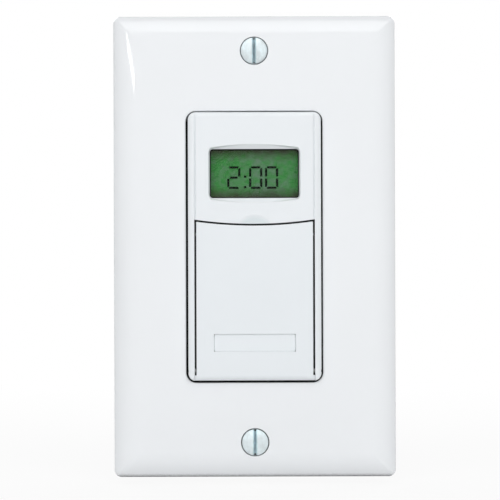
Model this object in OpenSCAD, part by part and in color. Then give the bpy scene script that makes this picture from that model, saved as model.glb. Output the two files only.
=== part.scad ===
// Timer light switch: a one-gang wall plate round a timer whose flip-down door is also its push plate.
// Lengths are in millimetres. The modules draw it lying on its back: X to the right, Y up the wall and Z out
// of the wall, with the wall at Z = 0. hung() stands it up, so that it faces -Y.

/* [Wall plate] */
// Width of the plate
plate_w = 69.85; // [66:0.05:80]
// Height of the plate
plate_h = 114.3; // [112:0.1:124]
// Depth from the wall to the plate's flat front
plate_depth = 5.6; // [5.2:0.1:7]
// Thickness of the plate's front
plate_wall = 2.2; // [1.8:0.1:2.4]
// Thickness of the plate's rim
plate_rim = 2; // [1.6:0.1:2.6]
// Width of the crowned edge
plate_crown = 6.2; // [4:0.1:8]
// Fall of the crowned edge
plate_crown_drop = 2.4; // [1.6:0.1:2.8]
// Corner radius of the plate, seen from the front
plate_corner_r = 1.8; // [1:0.1:4]
// Thickness of the stiffening ribs behind the plate
plate_rib_t = 1; // [0.8:0.1:1.6]

/* [Plate screws] */
// Distance between the two plate screws
plate_screw_pitch = 96.84; // [95:0.02:98]
// Head diameter of a plate screw
plate_head_d = 6.6; // [6.4:0.1:7.4]
// Height of the dome on its oval head
plate_head_dome = 0.8; // [0.4:0.1:1.2]
// Thread diameter of plate and box screws
machine_screw_d = 3.5; // [3:0.1:3.6]
// Length of a plate screw below its head
plate_screw_l = 11; // [9:0.5:16]

/* [Front insert] */
// Width of the insert in the plate's opening
insert_w = 32.8; // [32:0.1:34]
// Height of the insert
insert_h = 66.3; // [65.4:0.1:68]
// Corner radius of the insert
insert_corner_r = 2; // [1.4:0.1:2.4]
// Gap between the insert and the plate
insert_gap = 0.45; // [0.3:0.05:0.7]
// Height of the insert's face above the plate
insert_proud = 2; // [1.6:0.1:2.6]
// Width of the side rails beside the door
rail_w = 1.55; // [1.3:0.05:1.8]
// Fall of the insert's rounded edges
edge_drop = 0.65; // [0.4:0.05:0.9]
// Width of the rounded top edge
top_edge_w = 1.3; // [0.9:0.1:1.8]
// Thickness of the insert's outer wall
bezel_wall = 1.5; // [1.2:0.1:1.8]
// Thickness of the panel round the display
panel_t = 1.6; // [1.3:0.1:1.9]
// Depth of the bay behind the door, from the face
bay_depth = 3.4; // [3.2:0.1:3.8]
// Thickness of the bay's floor
floor_t = 1.2; // [1:0.1:1.4]

/* [Display] */
// Width of the display window
window_w = 22; // [20:0.1:23]
// Height of the display window
window_h = 12.1; // [11:0.1:12.6]
// Height of the window's middle above the insert's middle
window_y = 18; // [17.6:0.1:18.2]
// Depth of the sloped recess round the window
recess_depth = 0.9; // [0.5:0.1:1.1]
// Reach of the recess past the window at its sides
recess_side = 0.3; // [0.3:0.1:0.9]
// Reach of the recess past the window at its arched middle
recess_arch = 1.2; // [0.7:0.1:1.6]
// Thickness of the clear lens behind the panel
lens_t = 1; // [0.8:0.1:1.2]
// Thickness of the liquid-crystal cell
lcd_t = 2; // [1.6:0.1:2.2]

/* [Door] */
// Thickness of the door
door_t = 1.8; // [1.5:0.1:2]
// Gap at each side of the door
door_gap = 0.4; // [0.3:0.05:0.5]
// Gap along the door's arched top
door_top_gap = 0.45; // [0.35:0.05:0.6]
// Height of the panel's lower edge at its middle
panel_edge_y = 5.6; // [5.2:0.1:6]
// Radius of the panel's arched lower edge
arch_r = 104; // [90:1:140]
// Radius of the hinge barrel behind the door's foot
barrel_r = 1.35; // [1.25:0.05:1.45]
// Depth of the hinge pin below the face
hinge_depth = 1.2; // [1.1:0.05:1.25]
// Diameter of the hinge pin
pin_d = 1.2; // [1:0.1:1.4]
// Thickness of the bezel's toe below the door
toe_t = 0.95; // [0.8:0.05:1.2]
// Width of the bare name recess on the door
name_w = 20.5; // [16:0.1:24]
// Height of the bare name recess
name_h = 4.4; // [3:0.1:6]
// Height of the name recess's middle above the hinge
name_up = 6.95; // [6:0.05:9]

/* [Keys] */
// Width of a programming key
key_w = 6.4; // [5.4:0.1:6.8]
// Height of a programming key
key_h = 4.6; // [4:0.1:5.2]
// Distance between neighbouring keys
key_pitch = 8.6; // [8.4:0.1:8.8]
// Height of the key row above the hinge
key_row_up = 19.2; // [18.6:0.1:20]
// Width of the on/off plunger
plunger_w = 10; // [9:0.1:11]
// Height of the on/off plunger
plunger_h = 5.4; // [4.6:0.1:6]
// Height of the plunger above the hinge
plunger_up = 29.7; // [29.2:0.1:30.2]
// Height of the reset pinhole above the hinge
reset_up = 10.2; // [9.6:0.1:10.8]
// Diameter of the reset button
reset_d = 2.2; // [1.8:0.1:2.6]
// Travel of every key
key_travel = 0.5; // [0.3:0.05:0.6]
// Height of a switch body
switch_h = 3.4; // [3.2:0.1:3.6]
// Side of a switch body
switch_side = 6; // [5.6:0.1:6.2]

/* [Mounting strap] */
// Thickness of the strap
strap_t = 1.2; // [1:0.1:1.4]
// Width of the strap beside the timer
strap_w = 44; // [43.6:0.1:46]
// Gap between the strap's ears and the plate's rim
ear_gap = 2.15; // [1.8:0.05:2.6]
// Width of the plaster ears
ear_w = 38; // [34:0.5:42]
// Width of the tongues between body and ears
tongue_w = 22; // [18:0.5:24]
// Distance between the box screws
box_screw_pitch = 83.34; // [82.9:0.02:83.6]
// Length of a box screw's thread
box_thread_l = 20; // [12:0.5:26]

/* [Rear case] */
// Width of the rear case
case_w = 40; // [39.6:0.1:40.6]
// Depth of the case behind the wall's face
case_depth = 32; // [31:0.1:36]
// Thickness of the case's walls
case_wall = 1.8; // [1.5:0.1:2]
// Radius of the case's rear edges
case_edge = 2.2; // [1.4:0.1:3]
// Distance between the two terminals on one side
terminal_pitch = 22; // [21:0.1:23]
// Depth of the wiring channels in the case's sides
pocket_depth = 3.9; // [3.8:0.1:4]
// Head diameter of a terminal screw
terminal_head_d = 8; // [7:0.1:8.6]

/* [Boards] */
// Thickness of both circuit boards
board_t = 1.6; // [1.2:0.1:1.8]
// Depth of the control board behind the strap
control_drop = 2.6; // [2.4:0.1:2.8]
// Relay length up the board
relay_l = 19; // [18:0.5:19.5]
// Relay height off the board
relay_h = 15.3; // [14:0.1:16]

/* [Hidden] */
$fn = 64;

// Fits
cut = 1;
run_fit = 0.05;
loose_fit = 0.1;
seat_gap = 0.1;
hole_gap = 0.3;

// Wall plate and insert
face_z = plate_depth + insert_proud;
plate_ceiling = plate_depth - plate_wall;
opening_w = insert_w + 2 * insert_gap;
opening_h = insert_h + 2 * insert_gap;
opening_r = insert_corner_r + insert_gap;
strap_lift = 0.2;
strap_top = strap_lift + strap_t;
screw_r = machine_screw_d / 2;
countersink_gap = 0.15;
countersink_angle = 41;
plate_head_r = plate_head_d / 2;
plate_cone_h = (plate_head_r - screw_r) / tan(countersink_angle);
plate_boss_r = 3.2;
plate_slot_sunk = 0.6;
slot_w = 1.1;
slot_share = 0.5;
dome_share = 0.35;

// Bezel
bay_half = insert_w / 2 - rail_w;
cavity_half_w = insert_w / 2 - bezel_wall;
cavity_half_h = insert_h / 2 - bezel_wall;
panel_back = face_z - panel_t;
floor_top = face_z - bay_depth;
floor_back = floor_top - floor_t;
crease_w = 0.3;
crease_depth = 0.25;
boss_r = 2.2;
boss_inset = 2.95;
boss_x = insert_w / 2 - boss_inset;
boss_y = insert_h / 2 - boss_inset;
boss_end = -6;
boss_hole_r = boss_r + loose_fit * 2;
post_r = 2;
post_x = cavity_half_w - post_r - hole_gap;
bore_past = 0.6;
sliver = 0.02;

// Hinge and door
toe_y = toe_t - insert_h / 2;
hinge_clear = 0.15;
hinge_y = toe_y + hinge_clear + barrel_r;
hinge_z = face_z - hinge_depth;
toe_sink = 1.4;
toe_top = hinge_z - toe_sink;
foot_gap = 0.12;
foot_y = foot_gap - insert_h / 2;
foot_top = foot_y + top_edge_w;
foot_t = 1.7;
foot_r = norm([hinge_y - foot_y, hinge_depth - edge_drop]);
foot_room = foot_r + loose_fit;
pin_r = pin_d / 2;
pin_inset = 0.4;
door_half = bay_half - door_gap;
door_back = face_z - door_t;
door_lip_w = 1;
door_lip_h = 0.8;
door_lip_start = 1;
door_lip_short = 3;
nub_r = 0.7;
nub_proud = 0.25;
nub_down = 2.6;
pad_r = 2.4;
pad_t = 0.25;
press_gap = 0.1;
name_depth = 0.3;
name_r = 0.4;
name_y = hinge_y + name_up;
arch_centre_y = panel_edge_y + arch_r;
arch_room = 4;
scoop_w = 8.4;
scoop_h = 2.3;
scoop_depth = 0.7;

// Keys and switches
plunger_y = hinge_y + plunger_up;
key_row_y = hinge_y + key_row_up;
reset_y = hinge_y + reset_up;
key_r = 1.2;
key_gap = 0.25;
key_rise = 1;
key_round = 0.6;
key_fall = 0.3;
key_dish_r = 1.7;
key_dish = 0.2;
lip_t = 0.9;
lip_reach = 0.7;
lip_back = floor_back - seat_gap - lip_t;
plunger_wing = 2.2;
plunger_lip_w = plunger_w + 2 * plunger_wing;
plunger_lip = 1;
plunger_lip_h = plunger_h + 2 * plunger_lip;
plunger_top = door_back - pad_t - press_gap;
reset_lip = 1.1;
reset_lip_r = reset_d / 2 + reset_lip;
reset_sink = 0.3;
control_front = strap_lift - control_drop;
control_back = control_front - board_t;
switch_top = control_front + switch_h;
stem_r = 1.7;
stem_sunk = 0.8;
switch_r = 0.4;
switch_spots = [
    [0, plunger_y], [-key_pitch, key_row_y], [0, key_row_y], [key_pitch, key_row_y], [0, reset_y]
];
spring_r = 1.3;
spring_wire = 0.36;
spring_turns = 5;
spring_x = plunger_lip_w / 2 - spring_r - spring_wire;

// Display stack
lens_back = panel_back - lens_t;
lcd_front = lens_back - seat_gap;
lcd_back = lcd_front - lcd_t;
lcd_side = 2;
lcd_end = 1.5;
lcd_w = window_w + 2 * lcd_side;
lcd_h = window_h + 2 * lcd_end;
lcd_room = 0.6;
window_r = 0.8;
window_lip = 0.05;
recess_round = 2;
holder_wall = 1;
holder_r = 1;
holder_w = lcd_w + 2 * (loose_fit + holder_wall);
holder_h = lcd_h + 2 * (loose_fit + holder_wall);
guide_side = 0.5;
guide_end = 0.85;
guide_w = window_w + 2 * guide_side;
guide_h = window_h - 2 * guide_end;
guide_ledge = 1.2;
guide_t = 1.8;
guide_top = lcd_back - seat_gap;
zebra_side = 1;
zebra_w = window_w + 2 * zebra_side;
zebra_t = 1.6;
zebra_inset = 0.3;
zebra_y = (lcd_h - zebra_t) / 2 - zebra_inset;
lens_boss_h = 0.5;
led_w = 3.2;
led_h = 2.8;
led_t = 1.2;
led_r = 1.1;
led_dome = 0.5;

// Strap
strap_edge = 3;
strap_web = 1;
strap_r = 2;
strap_len = plate_h - 2 * (plate_rim + ear_gap);
strap_body_h = 2 * (boss_y + boss_hole_r + strap_edge);
strap_window_w = 2 * cavity_half_w;
strap_window_h = 2 * (boss_y - boss_hole_r - strap_web);
strap_window_r = 1;
ear_h = 9;
ear_y = (strap_len - ear_h) / 2;
score_w = 1.4;
score_h = 5;
score_r = 0.6;
box_slot_w = 8;
box_slot_h = 4.4;
box_slot_r = 2;
thread_depth = 0.25;
box_neck_r = screw_r - thread_depth;
box_neck_end = -1.4;
box_head_r = 3.3;
box_head_h = 1.6;
retainer_side = 9;
retainer_r = 1;
retainer_t = 0.8;
ground_gap = 0.8;
ground_x = case_w / 2 + ground_gap;
ground_y = -25;
ground_w = 9;
ground_end = -9.5;
ground_z = -4.6;
ground_past = 0.3;

// Rear case
case_post_r = 3.2;
case_post_gap = 0.6;
case_h = 2 * (boss_y + case_post_r + case_post_gap);
case_corner_r = 3;
case_edge_share = 0.6;
case_floor = case_wall - case_depth;
case_screw_r = 1.25;
case_seat = -13;
case_head_r = 2.3;
case_head_h = 1.8;
case_bore_end = boss_end - hole_gap;
terminal_z = -14.5;
pocket_w = 11;
pocket_l = 12;
pocket_wall = 1.5;
pocket_floor = case_w / 2 - pocket_depth;
pocket_back = pocket_floor - pocket_wall;
pocket_front = terminal_z + pocket_l / 2;
terminal_plate_w = 9;
terminal_plate_l = 10;
terminal_plate_t = 1;
terminal_screw_r = 1.9;
terminal_wire_gap = 0.6;
terminal_head_h = 2.2;
terminal_past = 1.1;
terminal_tip = pocket_back - terminal_past;
terminal_pin_gap = 0.2;
terminal_pin_x = pocket_back - terminal_pin_gap - terminal_plate_t;
terminal_pin_w = 2.4;
terminal_spots = [[-1, -1], [-1, 1], [1, -1], [1, 1]];

// Boards
board_gap = 0.8;
control_w = case_w - 2 * (case_wall + board_gap);
control_h = 2 * (boss_y - case_post_r - board_gap);
lower_post_up = 6.5;
upper_post_up = 33.2;
board_post_ys = [hinge_y + lower_post_up, hinge_y + upper_post_up];
board_screw_r = 1;
board_head_r = 1.9;
board_head_h = 1.2;
power_boss_h = 3.6;
power_back = case_floor + power_boss_h;
power_front = power_back + board_t;
power_gap = 0.25;
power_w = 2 * (pocket_back - power_gap);
power_h = control_h;
power_boss_r = 2.2;
power_boss_inset = 0.6;
power_boss_x = power_w / 2 - power_boss_r;
power_boss_y = power_h / 2 - power_boss_r - power_boss_inset;
power_bore_floor = 0.3;
pin_past = 1;
header_pins = 6;
header_pitch = 2.54;
header_y = -power_boss_y;
header_w = 2.5;
header_l = header_pins * header_pitch;
header_h = 2.5;
header_pin_r = 0.32;
socket_h = 7;
socket_roof = 0.8;
header_tip_gap = 0.7;

// Parts on the control board's back
chip_side = 7;
chip_t = 1.3;
chip_lift = 0.1;
chip_r = 0.3;
chip_lead_w = 0.3;
chip_lead_l = 1;
chip_lead_t = 0.5;
chip_lead_in = 0.1;
chip_lead_pitch = 0.8;
chip_leads = 7;
chip_spot = [2, 9, 0];
crystal_r = 1.3;
crystal_l = 6;
crystal_spot = [-9, 9, 0];

// Parts on the power board's front
parts_gap = 0.6;
parts_y = 11;
relay_w = 14;
relay_r = 0.8;
relay_foot = 0.6;
relay_foot_in = 0.3;
film_w = 7.4;
film_l = 18;
film_h = 13.5;
film_r = 0.8;
relay_x = (film_w + parts_gap) / 2;
film_x = -(relay_w + parts_gap) / 2;
can_r = 5;
can_h = 15;
can_groove_z = 2.4;
can_groove_r = 1;
can_groove_out = 0.5;
can_rim = 0.9;
can_rim_h = 0.3;
can_spot = [-6.5, -7, 0];
varistor_r = 5;
varistor_t = 3.6;
varistor_lift = 2;
varistor_lead_r = 0.4;
varistor_lead_x = 2.5;
varistor_lead_in = 1.5;
varistor_spot = [6.4, -5, 0];
bridge_w = 8;
bridge_l = 6;
bridge_t = 2.6;
bridge_lift = 0.2;
bridge_r = 0.4;
bridge_lead = [1, 1.6, 0.6];
bridge_lead_spot = [2.5, 3.4];
bridge_spot = [6.2, -12, 0];
fuse_r = 1.9;
fuse_l = 9;
fuse_lift = 2.6;
fuse_lead_r = 0.4;
fuse_lead_x = 6;
fuse_spot = [4, -17.6, 0];

// Places with the same distance from both axes
function corners(x, y) = [for (sx = [-1, 1], sy = [-1, 1]) [sx * x, sy * y, 0]];

// Radius of an arc that falls by drop over a run
function arc_radius(run, drop) = (run * run + drop * drop) / (2 * drop);

module hung() {
    rotate([90, 0, 0]) children();
}

module at(places) {
    for (p = places) translate(p) children();
}

module rounded_rect(w, h, r) {
    square([w - 2 * r, h], center = true);
    square([w, h - 2 * r], center = true);
    at(corners(w / 2 - r, h / 2 - r)) circle(r);
}

// A slab with rounded corners, from z0 to z1
module slab(w, h, r, z0, z1) {
    translate([0, 0, z0]) linear_extrude(z1 - z0) rounded_rect(w, h, r);
}

module block(w, h, z0, z1) {
    translate([-w / 2, -h / 2, z0]) cube([w, h, z1 - z0]);
}

module rod(r, z0, z1) {
    translate([0, 0, z0]) cylinder(r = r, h = z1 - z0);
}

// Half section of a slab whose edges fall away in an arc
module crowned_section(half, z0, z1, run, drop) {
    r = arc_radius(run, drop);
    flat = half - run;
    intersection() {
        translate([-half, z0]) square([2 * half, z1 - z0]);
        union() {
            translate([-flat, z0]) square([2 * flat, z1 - z0]);
            for (side = [-1, 1]) {
                translate([side * flat, z1 - r]) circle(r);
                translate([side * (half - run / 2) - run / 2, z0]) square([run, z1 - drop - z0]);
            }
        }
    }
}

// A slab crowned along all four edges, so that the crowns meet in mitred corners
module crowned_slab(w, h, r, z0, z1, run_x, run_y, drop) {
    intersection() {
        rotate([90, 0, 0]) linear_extrude(h + cut, center = true)
            crowned_section(w / 2, z0, z1, run_x, drop);
        rotate([90, 0, 90]) linear_extrude(w + cut, center = true)
            crowned_section(h / 2, z0, z1, run_y, drop);
        slab(w, h, r, z0, z1);
    }
}

// Outline under the panel's arched lower edge, widened by a gap
module arch_outline(gap) {
    translate([0, arch_centre_y]) circle(arch_r + gap, $fn = 360);
}

// A round head along Z, from z0, whose top is domed down to its rim
module domed_rod(r, z0, h, dome) {
    ball_r = arc_radius(r, dome);
    intersection() {
        rod(r, z0, z0 + h);
        translate([0, 0, z0 + h - ball_r]) sphere(ball_r);
    }
}

// A pan-head screw along Z with its head's underside at z = 0
module pan_screw(shank_r, shank_l, head_r, head_h) {
    rod(shank_r, -shank_l, 0);
    difference() {
        domed_rod(head_r, 0, head_h, head_h * dome_share);
        block(slot_w, 2 * head_r + cut, head_h * slot_share, head_h + cut);
    }
}

module oval_screw() {
    difference() {
        union() {
            translate([0, 0, plate_depth - plate_cone_h])
                cylinder(r1 = screw_r, r2 = plate_head_r, h = plate_cone_h);
            domed_rod(plate_head_r, plate_depth, plate_head_dome, plate_head_dome);
            rod(screw_r, plate_depth - plate_screw_l, plate_depth - plate_cone_h);
        }
        translate([0, 0, plate_depth])
            block(slot_w, plate_head_d + cut, -plate_slot_sunk, plate_head_dome + cut);
    }
}

module plate_screw_places() {
    at([[0, plate_screw_pitch / 2, 0], [0, -plate_screw_pitch / 2, 0]]) children();
}

module wall_plate() {
    rib_x = opening_w / 2 + plate_rib_t;
    color("white") hung() difference() {
        union() {
            difference() {
                crowned_slab(plate_w, plate_h, plate_corner_r, 0, plate_depth, plate_crown, plate_crown,
                    plate_crown_drop);
                block(plate_w - 2 * plate_rim, plate_h - 2 * plate_rim, -cut, plate_ceiling);
            }
            plate_screw_places() rod(plate_boss_r, strap_top + seat_gap, plate_ceiling + seat_gap);
            for (side = [-1, 1])
                translate([side * rib_x, 0, 0])
                    block(plate_rib_t, opening_h, strap_top + seat_gap, plate_ceiling + seat_gap);
        }
        slab(opening_w, opening_h, opening_r, -cut, plate_depth + cut);
        plate_screw_places() {
            rod(screw_r + hole_gap, -cut, plate_depth);
            translate([0, 0, plate_depth - plate_cone_h])
                cylinder(r1 = screw_r + countersink_gap, r2 = plate_head_r + countersink_gap,
                    h = plate_cone_h);
            rod(plate_head_r + countersink_gap, plate_depth - run_fit, plate_depth + cut);
        }
    }
}

module plate_screws() {
    color("silver") hung() plate_screw_places() oval_screw();
}

module box_screw_places() {
    at([[0, box_screw_pitch / 2, 0], [0, -box_screw_pitch / 2, 0]]) children();
}

// The strap's flat blank, with the foot of the ground tab
module strap_outline() {
    rounded_rect(strap_w, strap_body_h, strap_r);
    rounded_rect(tongue_w, strap_len, strap_r);
    for (end = [-1, 1]) translate([0, end * ear_y]) rounded_rect(ear_w, ear_h, strap_r);
    translate([-ground_x - strap_t, ground_y - ground_w / 2])
        square([ground_x + strap_t - strap_window_w / 2, ground_w]);
}

module mounting_strap() {
    color("gainsboro") hung() difference() {
        union() {
            translate([0, 0, strap_lift]) linear_extrude(strap_t) strap_outline();
            translate([-ground_x - strap_t, ground_y - ground_w / 2, ground_end])
                cube([strap_t, ground_w, strap_top - ground_end]);
        }
        slab(strap_window_w, strap_window_h, strap_window_r, -cut, strap_top + cut);
        at(corners(boss_x, boss_y)) rod(boss_hole_r, -cut, strap_top + cut);
        plate_screw_places() rod(screw_r + run_fit, -cut, strap_top + cut);
        box_screw_places() slab(box_slot_w, box_slot_h, box_slot_r, -cut, strap_top + cut);
        at(corners(tongue_w / 2, ear_y)) slab(score_w, score_h, score_r, -cut, strap_top + cut);
        translate([-ground_x - strap_t - cut, ground_y, ground_z]) rotate([0, 90, 0])
            cylinder(r = terminal_screw_r + run_fit, h = strap_t + 2 * cut);
    }
}

module box_screws() {
    color("silver") hung() box_screw_places() {
        translate([0, 0, strap_top])
            pan_screw(box_neck_r, strap_top - box_neck_end, box_head_r, box_head_h);
        rod(screw_r, box_neck_end - box_thread_l, box_neck_end);
    }
}

module screw_retainers() {
    color("tan") hung() box_screw_places() difference() {
        slab(retainer_side, retainer_side, retainer_r, strap_lift - retainer_t, strap_lift);
        rod(box_neck_r + run_fit, -cut - retainer_t, strap_top);
    }
}

module ground_screw() {
    color("seagreen") hung()
        translate([-ground_x - strap_t - terminal_wire_gap, ground_y, ground_z]) rotate([0, -90, 0])
            pan_screw(terminal_screw_r, terminal_wire_gap + strap_t + ground_past, terminal_head_d / 2,
                terminal_head_h);
}

module recess_cut() {
    half_w = window_w / 2 + recess_side;
    end_reach = 0.25;
    r = arc_radius(half_w, recess_arch - end_reach);
    reach = window_h / 2 + recess_arch;
    translate([0, window_y, 0]) hull() {
        translate([0, 0, face_z]) linear_extrude(sliver) intersection() {
            rounded_rect(2 * half_w, 2 * reach, recess_arch * recess_round);
            for_both(reach - r) circle(r, $fn = 240);
        }
        translate([0, 0, face_z - recess_depth]) linear_extrude(sliver)
            rounded_rect(window_w + 2 * window_lip, window_h + 2 * window_lip, window_r, $fn = 32);
    }
}

// Common area of a shape moved up and the same shape moved down
module for_both(shift) {
    intersection() {
        translate([0, shift]) children();
        translate([0, -shift]) children();
    }
}

module scoop_cut() {
    rim_r = arc_radius(scoop_w / 2, scoop_h);
    ball_r = arc_radius(rim_r, scoop_depth);
    translate([0, panel_edge_y + scoop_h - rim_r, face_z + ball_r - scoop_depth])
        sphere(ball_r, $fn = 96);
}

module bay_cut() {
    translate([0, 0, floor_top]) linear_extrude(bay_depth + cut) difference() {
        translate([-bay_half, toe_y]) square([2 * bay_half, panel_edge_y + arch_room - toe_y]);
        arch_outline(0);
    }
}

// Lowers the toe below the door, and hollows it and the bay's floor where the door's foot swings
module toe_cut() {
    translate([-bay_half, -insert_h / 2 - cut, toe_top])
        cube([2 * bay_half, toe_t + 2 * cut, face_z - toe_top + cut]);
    translate([0, hinge_y, hinge_z]) rotate([0, 90, 0])
        cylinder(r = foot_room, h = 2 * bay_half, center = true);
}

module bezel_shell() {
    lcd_room_y0 = window_y - holder_h / 2 - lcd_room;
    difference() {
        crowned_slab(insert_w, insert_h, insert_corner_r, strap_top, face_z, rail_w, top_edge_w,
            edge_drop);
        block(2 * cavity_half_w, 2 * cavity_half_h, strap_top - cut, floor_back);
        translate([-cavity_half_w, lcd_room_y0, strap_top - cut])
            cube([2 * cavity_half_w, cavity_half_h - lcd_room_y0, panel_back - strap_top + cut]);
        bay_cut();
    }
}

module bezel_bosses() {
    for (side = [-1, 1]) {
        translate([side * boss_x, boss_y, 0]) rod(boss_r, boss_end, panel_back + seat_gap);
        translate([side * boss_x, -boss_y, 0]) rod(boss_r, boss_end, floor_back + seat_gap);
        for (y = board_post_ys)
            translate([side * post_x, y, 0]) rod(post_r, control_front, floor_back + seat_gap);
    }
}

// Holes in the bay's floor, through which the keys, the plunger and the reset button reach
module key_holes() {
    deep = [floor_back - cut, floor_top + cut];
    for (x = [-key_pitch, 0, key_pitch])
        translate([x, key_row_y, 0])
            slab(key_w + 2 * key_gap, key_h + 2 * key_gap, key_r + key_gap, deep[0], deep[1]);
    translate([0, plunger_y, 0])
        slab(plunger_w + 2 * key_gap, plunger_h + 2 * key_gap, key_r + key_gap, deep[0], deep[1]);
    translate([0, reset_y, 0]) rod(reset_d / 2 + key_gap, deep[0], deep[1]);
}

module bezel() {
    color("white") hung() difference() {
        union() {
            bezel_shell();
            bezel_bosses();
        }
        toe_cut();
        recess_cut();
        scoop_cut();
        translate([0, window_y, 0])
            slab(window_w, window_h, window_r, panel_back - cut, face_z + cut);
        for (side = [-1, 1])
            translate([side * (bay_half - door_gap / 2) - crease_w / 2, panel_edge_y, face_z - crease_depth])
                cube([crease_w, insert_h / 2, crease_depth + cut]);
        translate([0, hinge_y, hinge_z]) rotate([0, 90, 0])
            cylinder(r = pin_r + run_fit, h = insert_w + cut, center = true);
        at(corners(boss_x, boss_y)) rod(case_screw_r + run_fit, boss_end - cut, strap_top + bore_past);
        board_post_places() rod(board_screw_r + run_fit, control_front - cut, strap_top + bore_past);
        key_holes();
    }
}

module display_lens() {
    color([0.8, 0.9, 0.85, 0.4]) hung() translate([0, window_y, 0]) {
        block(lcd_w, lcd_h, lens_back, panel_back);
        slab(window_w - 2 * loose_fit, window_h - 2 * loose_fit, window_r - loose_fit, panel_back,
            panel_back + lens_boss_h);
    }
}

module lcd_panel() {
    color("olivedrab") hung() translate([0, window_y, 0]) block(lcd_w, lcd_h, lcd_back, lcd_front);
}

module lcd_holder() {
    color("ivory") hung() translate([0, window_y, 0]) difference() {
        slab(holder_w, holder_h, holder_r, control_front, lcd_front);
        block(lcd_w + 2 * loose_fit, lcd_h + 2 * loose_fit, lcd_back, lcd_front + cut);
        block(guide_w + 2 * loose_fit, guide_h + 2 * loose_fit, guide_top - guide_t, lcd_back + cut);
        block(guide_w - 2 * guide_ledge, guide_h - 2 * guide_ledge, control_front - cut, lcd_back);
        for (end = [-1, 1])
            translate([0, end * zebra_y, 0])
                block(zebra_w + 2 * loose_fit, zebra_t + 2 * loose_fit, control_front - cut, lcd_back + cut);
    }
}

module zebra_strips() {
    color("dimgray") hung() for (end = [-1, 1])
        translate([0, window_y + end * zebra_y, 0]) block(zebra_w, zebra_t, control_front, lcd_back);
}

module light_guide() {
    color("honeydew") hung() translate([0, window_y, 0])
        block(guide_w, guide_h, guide_top - guide_t, guide_top);
}

module backlight_leds() {
    color("lightyellow") hung() for (side = [-1, 1])
        translate([side * guide_w / 4, window_y, 0]) {
            block(led_w, led_h, control_front, control_front + led_t);
            domed_rod(led_r, control_front + led_t, led_dome, led_dome);
        }
}

module hinge_pin() {
    color("silver") hung() translate([0, hinge_y, hinge_z]) rotate([0, 90, 0])
        cylinder(r = pin_r, h = insert_w - 2 * pin_inset, center = true);
}

// The door's barrel, cut flush with its face
module door_barrel() {
    intersection() {
        translate([0, hinge_y, hinge_z]) rotate([0, 90, 0])
            cylinder(r = barrel_r, h = 2 * door_half, center = true);
        translate([0, hinge_y, 0]) block(4 * door_half, 4 * barrel_r, 0, face_z);
    }
}

// The door's rounded foot below the barrel, which fills the bay from rail to rail
module door_foot() {
    edge_r = arc_radius(top_edge_w, edge_drop);
    wide = 2 * (bay_half - run_fit);
    intersection() {
        translate([0, hinge_y, hinge_z]) rotate([0, 90, 0])
            cylinder(r = foot_r, h = wide + cut, center = true);
        translate([-wide / 2, foot_y - cut, face_z - foot_t])
            cube([wide, foot_top + run_fit - foot_y + cut, foot_t]);
        union() {
            translate([0, foot_top, face_z - edge_r]) rotate([0, 90, 0])
                cylinder(r = edge_r, h = wide + cut, center = true);
            translate([-wide / 2, foot_top, face_z - foot_t]) cube([wide, cut, foot_t]);
        }
    }
    translate([-door_half, foot_top, face_z - foot_t]) cube([2 * door_half, hinge_y - foot_top, foot_t]);
}

module door() {
    lip_top = panel_edge_y - door_lip_short;
    lip_foot = hinge_y + barrel_r + door_lip_start;
    door_middle = (door_back + face_z) / 2;
    color("white") hung() difference() {
        union() {
            translate([0, 0, door_back]) linear_extrude(door_t) difference() {
                translate([-door_half, hinge_y]) square([2 * door_half, panel_edge_y + arch_room - hinge_y]);
                arch_outline(door_top_gap);
            }
            door_barrel();
            door_foot();
            for (side = [-1, 1])
                translate([side * (door_half - door_lip_w / 2), (lip_top + lip_foot) / 2, 0])
                    block(door_lip_w, lip_top - lip_foot, door_back - door_lip_h, door_back + run_fit);
            for (side = [-1, 1])
                translate([side * (door_half + nub_proud - nub_r), panel_edge_y - nub_down, door_middle])
                    sphere(nub_r);
            translate([0, plunger_y, 0]) rod(pad_r, door_back - pad_t, door_back + run_fit);
        }
        translate([0, hinge_y, hinge_z]) rotate([0, 90, 0])
            cylinder(r = pin_r + run_fit, h = 2 * door_half + cut, center = true);
        translate([0, name_y, 0]) slab(name_w, name_h, name_r, face_z - name_depth, face_z + cut);
    }
}

module on_off_plunger() {
    color("whitesmoke") hung() translate([0, plunger_y, 0]) {
        crowned_slab(plunger_w, plunger_h, key_r, lip_back + lip_t, plunger_top, key_round, key_round,
            key_fall);
        slab(plunger_lip_w, plunger_lip_h, key_r, lip_back, lip_back + lip_t);
    }
}

// Return springs between the control board and the plunger's wings
module plunger_springs() {
    z0 = control_front + spring_wire / 2 + seat_gap;
    z1 = lip_back - spring_wire / 2 - seat_gap;
    color("silver") hung() for (side = [-1, 1])
        translate([side * spring_x, plunger_y, 0]) coil(spring_r, spring_wire / 2, z0, z1, spring_turns);
}

// A round wire wound along Z, as one closed tube of six sides
module coil(r, wire_r, z0, z1, turns) {
    sides = 6;
    steps = turns * 10;
    function ring(i) = [for (k = [0 : sides - 1])
        let (a = 360 * turns * i / steps, b = 360 * k / sides, q = r + wire_r * cos(b))
        [q * cos(a), q * sin(a), z0 + (z1 - z0) * i / steps + wire_r * sin(b)]];
    points = [for (i = [0 : steps]) each ring(i)];
    walls = [for (i = [0 : steps - 1], k = [0 : sides - 1])
        let (a = i * sides + k, b = i * sides + (k + 1) % sides)
        each [[a, b, b + sides], [a, b + sides, a + sides]]];
    last = steps * sides;
    ends = [for (k = [1 : sides - 2]) each [[0, k + 1, k], [last, last + k, last + k + 1]]];
    polyhedron(points, concat(walls, ends));
}

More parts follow.
